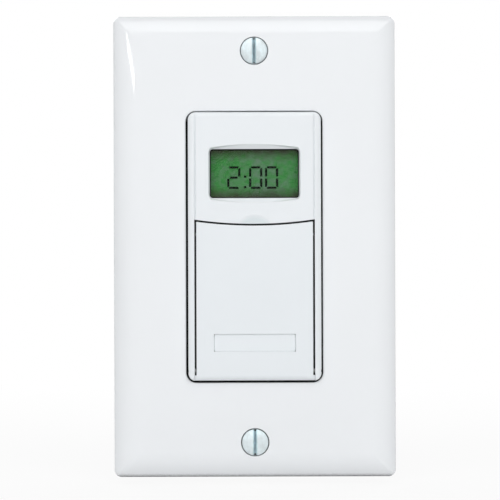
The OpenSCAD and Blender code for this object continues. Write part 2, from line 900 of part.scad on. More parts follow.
// A programming key: a dished cap through the bay's floor and a lip behind it
module key(x) {
    key_top = floor_top + key_rise;
    dish_ball = arc_radius(key_dish_r, key_dish);
    color("lightsteelblue") hung() translate([x, key_row_y, 0]) {
        difference() {
            crowned_slab(key_w, key_h, key_r, lip_back + lip_t, key_top, key_round, key_round, key_fall);
            translate([0, 0, key_top + dish_ball - key_dish]) sphere(dish_ball);
        }
        slab(key_w + 2 * lip_reach, key_h + 2 * lip_reach, key_r, lip_back, lip_back + lip_t);
    }
}

module set_key() {
    key(0);
}

module minus_key() {
    key(-key_pitch);
}

module plus_key() {
    key(key_pitch);
}

module reset_key() {
    color("tomato") hung() translate([0, reset_y, 0]) {
        rod(reset_d / 2, lip_back + lip_t, floor_top - reset_sink);
        rod(reset_lip_r, lip_back, lip_back + lip_t);
    }
}

// The push stem of the switch under a key
module stem(spot) {
    color("saddlebrown") hung() translate(spot) rod(stem_r, switch_top - stem_sunk, lip_back);
}

module on_off_stem() {
    stem(switch_spots[0]);
}

module minus_stem() {
    stem(switch_spots[1]);
}

module set_stem() {
    stem(switch_spots[2]);
}

module plus_stem() {
    stem(switch_spots[3]);
}

module reset_stem() {
    stem(switch_spots[4]);
}

module switch_bodies() {
    color("dimgray") hung() at(switch_spots) difference() {
        slab(switch_side, switch_side, switch_r, control_front, switch_top);
        rod(stem_r + run_fit, switch_top - stem_sunk - key_travel - hole_gap, switch_top + cut);
    }
}

module board_post_places() {
    for (side = [-1, 1], y = board_post_ys) translate([side * post_x, y, 0]) children();
}

module control_board() {
    color("darkgreen") hung() difference() {
        block(control_w, control_h, control_back, control_front);
        board_post_places() rod(board_screw_r + hole_gap, control_back - cut, control_front + cut);
    }
}

module microcontroller() {
    chip_top = control_back - chip_lift;
    lead_x = (chip_side + chip_lead_l) / 2 - chip_lead_in;
    color("black") hung() translate(chip_spot) {
        slab(chip_side, chip_side, chip_r, chip_top - chip_t, chip_top);
        for (turn = [0, 90, 180, 270], i = [0 : chip_leads - 1])
            rotate(turn) translate([lead_x, (i - (chip_leads - 1) / 2) * chip_lead_pitch, 0])
                block(chip_lead_l, chip_lead_w, control_back - chip_lead_t, control_back);
    }
}

module clock_crystal() {
    color("silver") hung() translate(crystal_spot) translate([0, 0, control_back - crystal_r])
        rotate([90, 0, 0]) cylinder(r = crystal_r, h = crystal_l, center = true);
}

module board_screws() {
    color("silver") hung() board_post_places() translate([0, 0, control_back]) mirror([0, 0, 1])
        pan_screw(board_screw_r, strap_top - control_back, board_head_r, board_head_h);
}

module header_places() {
    for (i = [0 : header_pins - 1])
        translate([(i - (header_pins - 1) / 2) * header_pitch, header_y, 0]) children();
}

module board_socket() {
    color("black") hung() difference() {
        translate([0, header_y, 0]) block(header_l, header_w, control_back - socket_h, control_back);
        header_places()
            rod(header_pin_r + loose_fit, control_back - socket_h - cut, control_back - socket_roof);
    }
}

module board_header() {
    color("gold") hung() {
        translate([0, header_y, 0]) block(header_l, header_w, power_front, power_front + header_h);
        header_places()
            rod(header_pin_r, power_back - pin_past, control_back - socket_roof - header_tip_gap);
    }
}

// Brass pins of the four terminals, where they pass through the power board
module terminal_pin_places() {
    pin_x = terminal_pin_x + terminal_plate_t / 2;
    at([for (s = terminal_spots) [s[0] * pin_x, s[1] * terminal_pitch / 2, 0]]) children();
}

module power_board() {
    color("darkgreen") hung() difference() {
        block(power_w, power_h, power_back, power_front);
        at(corners(power_boss_x, power_boss_y))
            rod(board_screw_r + hole_gap, power_back - cut, power_front + cut);
        header_places() rod(header_pin_r + loose_fit, power_back - cut, power_front + cut);
        terminal_pin_places()
            block(terminal_plate_t + 2 * loose_fit, terminal_pin_w + 2 * loose_fit, power_back - cut,
                power_front + cut);
    }
}

module relay() {
    foot_top = power_front + relay_foot;
    color("royalblue") hung() translate([relay_x, parts_y, 0]) {
        slab(relay_w, relay_l, relay_r, foot_top, power_front + relay_h);
        slab(relay_w - 2 * relay_foot_in, relay_l - 2 * relay_foot_in, relay_r, power_front, foot_top);
    }
}

module film_capacitor() {
    color("goldenrod") hung() translate([film_x, parts_y, 0])
        slab(film_w, film_l, film_r, power_front, power_front + film_h);
}

module smoothing_capacitor() {
    color("midnightblue") hung() translate(can_spot) translate([0, 0, power_front])
        rotate_extrude() difference() {
            square([can_r, can_h]);
            translate([can_r + can_groove_out, can_groove_z]) circle(can_groove_r);
            translate([0, can_h - can_rim_h]) square([can_r - can_rim, can_h]);
        }
}

module varistor() {
    disc_z = power_front + varistor_lift + varistor_r;
    lead_top = power_front + varistor_lift + varistor_lead_in;
    color("steelblue") hung() translate(varistor_spot) {
        translate([0, 0, disc_z]) rotate([90, 0, 0])
            cylinder(r = varistor_r, h = varistor_t, center = true);
        for (side = [-1, 1])
            translate([side * varistor_lead_x, 0, 0]) rod(varistor_lead_r, power_front, lead_top);
    }
}

module rectifier() {
    body_z = power_front + bridge_lift;
    color("black") hung() translate(bridge_spot) {
        slab(bridge_w, bridge_l, bridge_r, body_z, body_z + bridge_t);
        at(corners(bridge_lead_spot[0], bridge_lead_spot[1]))
            block(bridge_lead[0], bridge_lead[1], power_front, power_front + bridge_lead[2]);
    }
}

module fuse_resistor() {
    body_z = power_front + fuse_lift;
    color("palegreen") hung() translate(fuse_spot) {
        translate([0, 0, body_z]) rotate([0, 90, 0]) {
            cylinder(r = fuse_r, h = fuse_l, center = true);
            cylinder(r = fuse_lead_r, h = 2 * fuse_lead_x, center = true);
        }
        for (side = [-1, 1])
            translate([side * fuse_lead_x, 0, 0]) rod(fuse_lead_r, power_front, body_z + fuse_lead_r);
    }
}

module power_board_screws() {
    color("silver") hung() at(corners(power_boss_x, power_boss_y)) translate([0, 0, power_front])
        pan_screw(board_screw_r, board_t + power_boss_h - bore_past, board_head_r, board_head_h);
}

// One terminal's place, mirrored to its own side of the case
module terminal_place(spot) {
    translate([0, spot[1] * terminal_pitch / 2, 0])
        if (spot[0] < 0) mirror([1, 0, 0]) children();
        else children();
}

module terminal_plates() {
    tab_z = terminal_z - terminal_plate_l / 2;
    color("goldenrod") hung() for (spot = terminal_spots) terminal_place(spot) difference() {
        union() {
            translate([pocket_floor, -terminal_plate_w / 2, tab_z])
                cube([terminal_plate_t, terminal_plate_w, terminal_plate_l]);
            translate([terminal_pin_x, -terminal_pin_w / 2, tab_z])
                cube([pocket_floor + terminal_plate_t - terminal_pin_x, terminal_pin_w, terminal_plate_t]);
            translate([terminal_pin_x, -terminal_pin_w / 2, power_back - pin_past])
                cube([terminal_plate_t, terminal_pin_w, tab_z + terminal_plate_t - power_back + pin_past]);
        }
        translate([pocket_floor - cut, 0, terminal_z]) rotate([0, 90, 0])
            cylinder(r = terminal_screw_r + run_fit, h = terminal_plate_t + 2 * cut);
    }
}

module terminal_screw() {
    head_x = pocket_floor + terminal_plate_t + terminal_wire_gap;
    translate([head_x, 0, terminal_z]) rotate([0, 90, 0])
        pan_screw(terminal_screw_r, head_x - terminal_tip, terminal_head_d / 2, terminal_head_h);
}

module line_screws() {
    color("gold") hung() for (spot = terminal_spots)
        if (spot[0] > 0) terminal_place(spot) terminal_screw();
}

module neutral_screws() {
    color("silver") hung() for (spot = terminal_spots)
        if (spot[0] < 0) terminal_place(spot) terminal_screw();
}

// Walls round one wiring channel, inside the case
module pocket_walls() {
    outside_w = pocket_w + 2 * pocket_wall;
    foot = case_floor - seat_gap;
    translate([pocket_back, -outside_w / 2, foot])
        cube([case_w / 2 - pocket_back - case_wall / 2, outside_w, pocket_front + pocket_wall - foot]);
}

// Channel in the case's side for one terminal, open to the rear so that its wire comes in there
module pocket_cut() {
    tab_z = terminal_z - terminal_plate_l / 2;
    translate([pocket_floor, -pocket_w / 2, -case_depth - cut])
        cube([pocket_depth + cut, pocket_w, case_depth + cut + pocket_front]);
    translate([pocket_back - cut, 0, terminal_z]) rotate([0, 90, 0])
        cylinder(r = terminal_screw_r + hole_gap, h = pocket_wall + 2 * cut);
    translate([pocket_back - cut, -terminal_pin_w / 2 - loose_fit, tab_z - loose_fit])
        cube([pocket_wall + 2 * cut, terminal_pin_w + 2 * loose_fit, terminal_plate_t + 2 * loose_fit]);
}

module case_walls() {
    difference() {
        mirror([0, 0, 1])
            crowned_slab(case_w, case_h, case_corner_r, -strap_lift, case_depth, case_edge, case_edge,
                case_edge * case_edge_share);
        block(case_w - 2 * case_wall, case_h - 2 * case_wall, case_floor, strap_lift + cut);
    }
}

module rear_case() {
    color("dimgray") hung() difference() {
        union() {
            case_walls();
            at(corners(boss_x, boss_y)) rod(case_post_r, case_floor - seat_gap, strap_lift);
            at(corners(power_boss_x, power_boss_y)) rod(power_boss_r, case_floor - seat_gap, power_back);
            for (spot = terminal_spots) terminal_place(spot) pocket_walls();
        }
        at(corners(boss_x, boss_y)) {
            rod(boss_r + loose_fit, case_bore_end, strap_lift + cut);
            rod(case_screw_r + hole_gap, case_seat - cut, case_bore_end + cut);
            rod(case_head_r + hole_gap, -case_depth - cut, case_seat);
        }
        at(corners(power_boss_x, power_boss_y))
            rod(board_screw_r + run_fit, case_floor + power_bore_floor, power_back + cut);
        for (spot = terminal_spots) terminal_place(spot) pocket_cut();
    }
}

module case_screws() {
    color("silver") hung() at(corners(boss_x, boss_y)) translate([0, 0, case_seat]) mirror([0, 0, 1])
        pan_screw(case_screw_r, strap_lift - case_seat, case_head_r, case_head_h);
}

wall_plate();
plate_screws();
mounting_strap();
box_screws();
screw_retainers();
ground_screw();
bezel();
display_lens();
lcd_panel();
lcd_holder();
zebra_strips();
light_guide();
backlight_leds();
hinge_pin();
door();
on_off_plunger();
on_off_stem();
set_key();
set_stem();
minus_key();
minus_stem();
plus_key();
plus_stem();
reset_key();
reset_stem();
switch_bodies();
plunger_springs();
control_board();
microcontroller();
clock_crystal();
board_screws();
board_socket();
board_header();
power_board();
relay();
film_capacitor();
smoothing_capacitor();
varistor();
rectifier();
fuse_resistor();
power_board_screws();
terminal_plates();
line_screws();
neutral_screws();
rear_case();
case_screws();
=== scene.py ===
"""Timer light switch, dressed for the render: pieces, finishes, studio and camera.

Sizes in the classes are bench millimetres, as in the part's source: x to the right, y up the wall and z
out of the wall. bench() turns them into the row frame's metres, where the front faces -Y and +Z is up.
"""

import logging
import math
from abc import ABC, abstractmethod
from dataclasses import dataclass
from enum import Enum
from typing import Any, Callable, Iterable, Sequence

import bmesh
import bpy
from mathutils import Color, Matrix, Quaternion, Vector


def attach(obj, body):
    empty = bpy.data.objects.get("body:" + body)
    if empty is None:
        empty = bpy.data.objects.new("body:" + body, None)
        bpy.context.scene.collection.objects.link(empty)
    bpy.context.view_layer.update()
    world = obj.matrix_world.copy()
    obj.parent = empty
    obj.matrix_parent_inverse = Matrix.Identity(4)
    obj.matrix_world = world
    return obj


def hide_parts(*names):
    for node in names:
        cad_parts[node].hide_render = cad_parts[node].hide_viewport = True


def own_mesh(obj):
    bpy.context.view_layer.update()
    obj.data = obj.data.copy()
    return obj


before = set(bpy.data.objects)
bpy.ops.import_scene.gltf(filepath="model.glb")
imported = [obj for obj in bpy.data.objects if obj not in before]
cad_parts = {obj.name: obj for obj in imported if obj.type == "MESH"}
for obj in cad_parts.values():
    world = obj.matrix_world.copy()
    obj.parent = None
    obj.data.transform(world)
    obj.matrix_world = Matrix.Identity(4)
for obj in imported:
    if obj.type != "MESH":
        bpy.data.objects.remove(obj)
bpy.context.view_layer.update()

MM = 0.001
SIDES = (-1, 1)
WHITE = (1.0, 1.0, 1.0, 1.0)
BLACK = (0.0, 0.0, 0.0, 1.0)
log = logging.getLogger("timer_switch")

Colour = tuple[float, float, float]
Shade = tuple[float, float, float, float]
Flat = tuple[float, float]
Point = tuple[float, float, float]
Section = tuple[Flat, ...]
Ring = list[bmesh.types.BMVert]
Socket = bpy.types.NodeSocket
Number = Socket | float
Tint = Socket | Shade
Values = dict[str | int, Any]


class Body(Enum):
    """The part's bodies that new pieces ride on."""

    FRAME = "frame"
    DOOR = "door"
    SET = "set"
    MINUS = "minus"
    PLUS = "plus"


class Grain(Enum):
    """Which way the marks on a brushed metal run, in the row frame."""

    ALONG_Y = (1.0, 0.03, 1.0)
    ALONG_Z = (1.0, 1.0, 0.03)
    NONE = (1.0, 1.0, 1.0)


class Blend(Enum):
    """How a second colour goes over a first."""

    MIX = "MIX"
    MULTIPLY = "MULTIPLY"


class Rule(Enum):
    """What a sum node does with its numbers."""

    ADD = "ADD"
    SUBTRACT = "SUBTRACT"
    MULTIPLY = "MULTIPLY"
    MULTIPLY_ADD = "MULTIPLY_ADD"
    POWER = "POWER"
    ABSOLUTE = "ABSOLUTE"
    MAXIMUM = "MAXIMUM"


# Shapes

# Edges that turn by more degrees than this stay crisp
SHARP_ANGLE = 32.0
# How far the middle of an eased edge lies inside its corner, as a share of the edge's radius
EASE = 0.3


def bench(x: float, y: float, z: float) -> Vector:
    """Bench millimetres as a point of the row frame, in metres."""
    return Vector((x, -z, y)) * MM


def linear(colour: Colour) -> Shade:
    """A written sRGB colour as the linear one that a shader takes."""
    return (*Color(colour).from_srgb_to_scene_linear(), 1.0)


def spread(first: float, last: float, steps: int) -> list[float]:
    """Evenly spaced values from first to last, both among them."""
    return [first + (last - first) * i / steps for i in range(steps + 1)]


def rounded_outline(half_w: float, half_h: float, radius: float, steps: int = 8) -> list[Flat]:
    """Points of a rounded rectangle, anticlockwise.

    Args:
        half_w: Half its width.
        half_h: Half its height.
        radius: Radius of its corners.
        steps: Edges in each corner.

    Returns:
        4 * (steps + 1) points.
    """
    points = []
    for quarter, (sx, sy) in enumerate(((1, 1), (-1, 1), (-1, -1), (1, -1))):
        for i in range(steps + 1):
            a = math.pi / 2 * (quarter + i / steps)
            points.append((sx * (half_w - radius) + radius * math.cos(a),
                           sy * (half_h - radius) + radius * math.sin(a)))
    return points


def circle(radius: float, steps: int = 48) -> list[Flat]:
    """Points of a circle, anticlockwise."""
    turns = [2 * math.pi * i / steps for i in range(steps)]
    return [(radius * math.cos(a), radius * math.sin(a)) for a in turns]


def arc_radius(run: float, drop: float) -> float:
    """Radius of an arc that falls by drop over a run."""
    return (run * run + drop * drop) / (2 * drop)


class Draft:
    """A mesh in the making, drawn in bench millimetres."""

    def __init__(self) -> None:
        """Start with no faces."""
        self.bm = bmesh.new()

    def ring(self, outline: Iterable[Flat], z: float, at: Flat = (0.0, 0.0)) -> Ring:
        """Vertices of an outline at one height.

        Args:
            outline: Points in the plane of the wall.
            z: Their height off the wall.
            at: Where the outline's middle goes.

        Returns:
            One vertex for each point.
        """
        return [self.bm.verts.new(bench(x + at[0], y + at[1], z)) for x, y in outline]

    def loop(self, points: Iterable[Point]) -> Ring:
        """Vertices at free points."""
        return [self.bm.verts.new(bench(*p)) for p in points]

    def skin(self, rings: Sequence[Ring]) -> None:
        """Lay quads between each closed ring and the next.

        Args:
            rings: Rings of as many vertices each.
        """
        for a, b in zip(rings, rings[1:]):
            for i in range(len(a)):
                j = (i + 1) % len(a)
                self.bm.faces.new((a[i], a[j], b[j], b[i]))

    def cap(self, ring: Ring) -> None:
        """One face that closes a ring."""
        self.bm.faces.new(ring)

    def solid(self, rings: Sequence[Ring]) -> None:
        """Skin a row of rings and close both its ends.

        Args:
            rings: Rings of as many vertices each, from one end to the other.
        """
        self.skin(rings)
        self.cap(rings[0])
        self.cap(rings[-1])

    def fill(self, loops: Sequence[Ring]) -> None:
        """Lay triangles over a flat area.

        Args:
            loops: Its outer edge, then the edges of the holes in it.
        """
        edges = []
        for ring in loops:
            for a, b in zip(ring, ring[1:] + ring[:1]):
                edges.append(self.bm.edges.get((a, b)) or self.bm.edges.new((a, b)))
        bmesh.ops.triangle_fill(self.bm, use_beauty=True, use_dissolve=False, edges=edges)

    def turned(self, profile: Sequence[Flat], at: Flat, steps: int = 48,
               swell: Callable[[float, float], float] | None = None) -> None:
        """A closed solid turned about an axis along z.

        Args:
            profile: Radius and height of each ring, from one end to the other.
            at: Where the axis stands.
            steps: Edges round the axis.
            swell: Change of radius at an angle and a height, for a thread.
        """
        turns = [2 * math.pi * i / steps for i in range(steps)]
        rings = []
        for r, z in profile:
            radii = [r + (swell(a, z) if swell else 0.0) for a in turns]
            rings.append(self.ring([(q * math.cos(a), q * math.sin(a)) for q, a in zip(radii, turns)], z, at))
        self.solid(rings)

    def box(self, low: Point, high: Point, edge: float) -> None:
        """A block with chamfered edges.

        Args:
            low: Its lowest corner.
            high: Its highest corner.
            edge: Width of the chamfer.
        """
        mid = [(a + b) / 2 for a, b in zip(low, high)]
        half = [(b - a) / 2 for a, b in zip(low, high)]
        inset = edge * (1 - EASE)
        outline = rounded_outline(half[0], half[1], edge, steps=2)
        inner = rounded_outline(half[0] - inset, half[1] - inset, edge * EASE, steps=2)
        heights = ((inner, low[2]), (outline, low[2] + edge), (outline, high[2] - edge), (inner, high[2]))
        self.solid([self.ring(points, z, (mid[0], mid[1])) for points, z in heights])

    def ball(self, radius: float, at: Point) -> None:
        """A ball of quads."""
        move = Matrix.Translation(bench(*at))
        bmesh.ops.create_uvsphere(self.bm, u_segments=20, v_segments=12, radius=radius * MM, matrix=move)

    def finish(self, name: str) -> bpy.types.Object:
        """Turn the draft into an object of the scene.

        Args:
            name: The piece's name.

        Returns:
            The object, at the origin.
        """
        bmesh.ops.recalc_face_normals(self.bm, faces=self.bm.faces[:])
        mesh = bpy.data.meshes.new(name)
        self.bm.to_mesh(mesh)
        self.bm.free()
        obj = bpy.data.objects.new(name, mesh)
        bpy.context.scene.collection.objects.link(obj)
        crisp(mesh)
        return obj


def crisp(mesh: bpy.types.Mesh) -> None:
    """Shade a mesh smooth except over its sharp edges."""
    mesh.shade_smooth()
    mesh.set_sharp_from_angle(angle=math.radians(SHARP_ANGLE))


def carve(obj: bpy.types.Object, cutter: bpy.types.Object) -> None:
    """Take the cutter's volume out of an object, and the cutter out of the scene.

    Args:
        obj: The object, whose mesh is replaced. Its cut faces get the cutter's finish.
        cutter: The volume to take away.
    """
    cut = obj.modifiers.new("slot", "BOOLEAN")
    cut.object = cutter
    cut.operation = "DIFFERENCE"
    cut.solver = "EXACT"
    cut.material_mode = "TRANSFER"
    graph = bpy.context.evaluated_depsgraph_get()
    mesh = bpy.data.meshes.new_from_object(obj.evaluated_get(graph))
    obj.modifiers.clear()
    obj.data = mesh
    crisp(mesh)
    bpy.data.objects.remove(cutter)


# Finishes

# Bands of the wave texture in one unit of length, at a scale of one
BANDS_PER_UNIT = 3.1831


class NodeTree:
    """A node tree in the making."""

    def __init__(self, tree: bpy.types.NodeTree) -> None:
        """Start with no nodes."""
        self.tree = tree
        self.tree.nodes.clear()

    def add(self, kind: str, values: Values | None = None, **settings: Any) -> bpy.types.Node:
        """Add a node.

        Args:
            kind: Blender's name for its type.
            values: What goes into its sockets: a number, a colour or another node's output.
            settings: The node's own settings.

        Returns:
            The node.
        """
        node = self.tree.nodes.new(kind)
        for key, value in settings.items():
            setattr(node, key, value)
        for key, value in (values or {}).items():
            if isinstance(value, bpy.types.NodeSocket):
                self.tree.links.new(value, node.inputs[key])
            else:
                node.inputs[key].default_value = value
        return node

    def sum(self, rule: Rule, *numbers: Number, clamp: bool = False) -> Socket:
        """Numbers put together by a rule."""
        node = self.add("ShaderNodeMath", dict(enumerate(numbers)), operation=rule.value, use_clamp=clamp)
        return node.outputs[0]


class Shader(NodeTree):
    """The node tree of one material, with short calls for what the finishes share."""

    def __init__(self, name: str) -> None:
        """Start a material with its output and its place on the piece.

        Args:
            name: The material's name.
        """
        self.material = bpy.data.materials.new(name)
        self.material.use_nodes = True
        super().__init__(self.material.node_tree)
        self.output = self.add("ShaderNodeOutputMaterial")
        self.place: Socket = self.add("ShaderNodeTexCoord").outputs["Object"]

    def noise(self, size: float, detail: float, grain: Grain = Grain.NONE) -> Socket:
        """Noise drawn out along a grain.

        Args:
            size: About how many millimetres its spots measure.
            detail: How many finer layers lie over them.
            grain: Which way it is drawn out.

        Returns:
            The noise, mostly between 0.25 and 0.75.
        """
        place = self.place
        if grain is not Grain.NONE:
            place = self.add("ShaderNodeMapping", {"Vector": place, "Scale": grain.value}).outputs["Vector"]
        values = {"Vector": place, "Scale": 1 / (size * MM), "Detail": detail}
        return self.add("ShaderNodeTexNoise", values).outputs["Fac"]

    def span(self, factor: Socket, low: float, high: float, start: float = 0.25, end: float = 0.75) -> Socket:
        """A factor between start and end, stretched to run from low to high."""
        values = {"Value": factor, "From Min": start, "From Max": end, "To Min": low, "To Max": high}
        return self.add("ShaderNodeMapRange", values).outputs["Result"]

    def uneven(self, factor: Socket, middle: float, swing: Flat, start: float = 0.25,
               end: float = 0.75) -> Socket:
        """A number that a factor swings between two shares of its middle."""
        return self.span(factor, middle * swing[0], middle * swing[1], start, end)

    def mix(self, factor: Socket, a: Tint, b: Tint, blend: Blend = Blend.MIX) -> Socket:
        """Two colours mixed by a factor."""
        node = self.add("ShaderNodeMix", {0: factor, 6: a, 7: b}, data_type="RGBA", blend_type=blend.value)
        return node.outputs[2]

    def relief(self, height: Socket, depth: float, edge: float) -> Socket:
        """Normal of a fine relief over rounded edges.

        Args:
            height: The relief, from 0 to 1.
            depth: Its depth in millimetres.
            edge: Radius in millimetres that edges look rounded to.

        Returns:
            The normal.
        """
        values: Values = {"Height": height, "Distance": depth * MM, "Strength": 1.0}
        if edge:
            values["Normal"] = self.add("ShaderNodeBevel", {"Radius": edge * MM}, samples=4).outputs["Normal"]
        return self.add("ShaderNodeBump", values).outputs["Normal"]

    def end(self, surface: bpy.types.Node) -> bpy.types.Material:
        """End the tree in a surface and hand the material over."""
        self.tree.links.new(surface.outputs[0], self.output.inputs["Surface"])
        return self.material

    def close(self, values: Values) -> bpy.types.Material:
        """End the tree in one principled surface and hand the material over."""
        return self.end(self.add("ShaderNodeBsdfPrincipled", values))


@dataclass(frozen=True)
class PaintedGapShade:
    """Painted shade in narrow gaps of a surface.

    A wall within reach closes a gap. The painted shade starts below a height off the wall, is full a fade
    deeper, and grows as the view out of the gap shrinks from open to shut. Gaps at the insert's top catch the
    light and get less of it.
    """

    reach: float
    below: float
    fade: float = 0.2
    darkest: float = 0.985
    shut: float = 0.28
    open: float = 0.62
    top: Flat = (31.0, 33.5)
    top_share: float = 0.1

    def darken(self, shader: Shader, colour: Socket) -> Socket:
        """Paint shade onto a colour deep in narrow gaps.

        Args:
            shader: The material's tree.
            colour: The colour in the open.

        Returns:
            The colour with painted shade.
        """
        parts = shader.add("ShaderNodeSeparateXYZ", {0: shader.place}).outputs
        view = shader.add("ShaderNodeAmbientOcclusion", {"Distance": self.reach * MM}, samples=8)
        dark = shader.span(view.outputs["AO"], self.darkest, 0.0, self.shut, self.open)
        deep = shader.span(parts["Y"], 0.0, 1.0, -self.below * MM, (self.fade - self.below) * MM)
        lower = shader.span(parts["Z"], 1.0, self.top_share, self.top[0] * MM, self.top[1] * MM)
        share = shader.sum(Rule.MULTIPLY, shader.sum(Rule.MULTIPLY, dark, deep), lower)
        return shader.mix(share, colour, BLACK)


@dataclass(frozen=True)
class ScoopShade:
    """Painted shade in a round hollow of a moulding, the finger scoop above the door."""

    at: Flat
    radius: float
    soft: float
    floor_z: float
    tone: Colour

    def dull(self, shader: Shader, colour: Socket) -> Socket:
        """Paint shade onto a colour inside the hollow.

        Args:
            shader: The material's tree.
            colour: The colour outside the hollow.

        Returns:
            The colour with painted shade.
        """
        middle = (self.at[0] * MM, 0.0, self.at[1] * MM)
        flat = shader.add("ShaderNodeVectorMath", {0: shader.place, 1: (1.0, 0.0, 1.0)}, operation="MULTIPLY")
        away = shader.add("ShaderNodeVectorMath", {0: flat.outputs[0], 1: middle}, operation="DISTANCE")
        edge, rim = (self.radius - self.soft) * MM, self.radius * MM
        inside = shader.span(away.outputs["Value"], 1.0, 0.0, edge, rim)
        parts = shader.add("ShaderNodeSeparateXYZ", {0: shader.place}).outputs
        front = shader.span(parts["Y"], 1.0, 0.0, -(self.floor_z + self.soft) * MM, -self.floor_z * MM)
        share = shader.sum(Rule.MULTIPLY, inside, front)
        return shader.mix(share, colour, (*self.tone, 1.0), Blend.MULTIPLY)


@dataclass(frozen=True)
class Finish(ABC):
    """How a surface looks. Each one makes its material once."""

    name: str
    colour: Colour

    @abstractmethod
    def draw(self, shader: Shader) -> bpy.types.Material:
        """Fill the shader's tree.

        Args:
            shader: The material's tree, with its output and place alone.

        Returns:
            The material.
        """

    def material(self) -> bpy.types.Material:
        """The finish's material, made at its first use."""
        return bpy.data.materials.get(self.name) or self.draw(Shader(self.name))

    def lit(self, share: float) -> Shade:
        """The finish's colour, darker or lighter by a share."""
        red, green, blue = (min(1.0, c * share) for c in linear(self.colour)[:3])
        return (red, green, blue, 1.0)

    def tints(self, shader: Shader, factor: Socket, gain: float) -> Socket:
        """The finish's colour, a little darker and lighter by a factor."""
        return shader.mix(factor, self.lit(1 - gain), self.lit(1 + gain))


@dataclass(frozen=True)
class Moulded(Finish):
    """A moulded plastic: cloudy colour, fine mould texture and uneven gloss."""

    roughness: float = 0.3
    texture: float = 0.25
    depth: float = 0.004
    cloud: float = 14.0
    gain: float = 0.015
    coat: float = 0.0
    coat_roughness: float = 0.06
    edge: float = 0.12
    shine: float = 0.5
    swing: Flat = (0.88, 1.12)
    patch: float = 0.25
    # painted shade in narrow gaps, where any
    gap: PaintedGapShade | None = None
    # painted shade in a finger scoop, where any
    scoop_shade: ScoopShade | None = None

    def draw(self, shader: Shader) -> bpy.types.Material:
        """Fill the shader's tree.

        Args:
            shader: The material's tree, with its output and place alone.

        Returns:
            The material.
        """
        cloud = shader.span(shader.noise(self.cloud, detail=3.0), low=0.0, high=1.0)
        fine = shader.noise(self.texture, detail=2.0)
        rough = shader.uneven(shader.noise(self.cloud * self.patch, detail=4.0), self.roughness, self.swing)
        colour = self.tints(shader, cloud, self.gain)
        if self.scoop_shade:
            colour = self.scoop_shade.dull(shader, colour)
        if self.gap:
            colour = self.gap.darken(shader, colour)
        return shader.close({
            "Base Color": colour, "Roughness": rough, "Normal": shader.relief(fine, self.depth, self.edge),
            "Coat Weight": self.coat, "Coat Roughness": self.coat_roughness, "Specular IOR Level": self.shine,
        })


@dataclass(frozen=True)
class Plated(Finish):
    """A plated or bare metal with drawn marks and a faint film."""

    roughness: float = 0.3
    marks: float = 0.09
    depth: float = 0.004
    gain: float = 0.1
    grain: Grain = Grain.ALONG_Z
    edge: float = 0.1
    film: float = 2.4
    tones: Flat = (0.55, 1.05)
    swing: Flat = (0.75, 1.3)
    # painted shade in narrow gaps, where any
    gap: PaintedGapShade | None = None

    def draw(self, shader: Shader) -> bpy.types.Material:
        """Fill the shader's tree.

        Args:
            shader: The material's tree, with its output and place alone.

        Returns:
            The material.
        """
        drawn = shader.noise(self.marks, detail=3.0, grain=self.grain)
        film = shader.noise(self.film, detail=4.0)
        shade = shader.sum(Rule.MULTIPLY_ADD, drawn, film, film)
        tone = shader.span(shade, 0.0, 1.0, *self.tones)
        rough = shader.uneven(film, self.roughness, self.swing)
        colour = self.tints(shader, tone, self.gain)
        if self.gap:
            colour = self.gap.darken(shader, colour)
        return shader.close({
            "Base Color": colour, "Metallic": 1.0, "Roughness": rough,
            "Normal": shader.relief(drawn, self.depth, self.edge),
        })


@dataclass(frozen=True)
class Galvanised(Finish):
    """Hot-dipped sheet steel: frost flowers of zinc, each with its own tone and gloss."""

    roughness: float = 0.36
    swing: Flat = (0.75, 1.3)
    flower: float = 3.2
    bend: float = 1.1
    bend_scale: float = 900.0
    gain: float = 0.16
    dents: float = 0.5
    depth: float = 0.006
    edge: float = 0.15
    # painted shade in narrow gaps
    gap: PaintedGapShade = PaintedGapShade(reach=4.0, below=5.0)

    def draw(self, shader: Shader) -> bpy.types.Material:
        """Fill the shader's tree.

        Args:
            shader: The material's tree, with its output and place alone.

        Returns:
            The material.
        """
        wobble = shader.add("ShaderNodeTexNoise", {
            "Vector": shader.place, "Scale": self.bend_scale, "Detail": 2.0})
        bent = shader.add("ShaderNodeVectorMath", {
            0: wobble.outputs["Color"], 1: (self.bend * MM,) * 3, 2: shader.place}, operation="MULTIPLY_ADD")
        flowers = shader.add("ShaderNodeTexVoronoi", {
            "Vector": bent.outputs[0], "Scale": 1 / (self.flower * MM)})
        tone = shader.add("ShaderNodeSeparateColor", {0: flowers.outputs["Color"]}).outputs[0]
        return shader.close({
            "Base Color": self.gap.darken(shader, self.tints(shader, tone, self.gain)), "Metallic": 1.0,
            "Roughness": shader.uneven(tone, self.roughness, self.swing, start=0.0, end=1.0),
            "Normal": shader.relief(shader.noise(self.dents, detail=4.0), self.depth, self.edge),
        })


@dataclass(frozen=True)
class SolderMask(Finish):
    """Green solder mask over copper tracks on glass cloth."""

    cloth: float = 0.3
    gain: float = 0.12
    copper: float = 1.9
    rise: float = 0.03
    gloss: Flat = (0.22, 0.34)

    def draw(self, shader: Shader) -> bpy.types.Material:
        """Fill the shader's tree.

        Args:
            shader: The material's tree, with its output and place alone.

        Returns:
            The material.
        """
        upright = shader.add("ShaderNodeMapping", {
            "Vector": shader.place, "Rotation": (math.pi / 2, 0, 0)}).outputs["Vector"]
        tracks = shader.add("ShaderNodeTexBrick", {
            "Vector": upright, "Scale": 420.0, "Mortar Size": 0.035, "Mortar Smooth": 0.2,
            "Brick Width": 0.9, "Row Height": 0.5}).outputs["Fac"]
        cloth = shader.span(shader.noise(self.cloth, detail=1.0), low=0.0, high=1.0)
        base = self.tints(shader, cloth, self.gain)
        return shader.close({
            "Base Color": shader.mix(tracks, base, self.lit(self.copper)), "Coat Weight": 0.4,
            "Roughness": shader.span(cloth, *self.gloss, start=0.0, end=1.0),
            "Normal": shader.relief(tracks, self.rise, edge=0.0),
        })


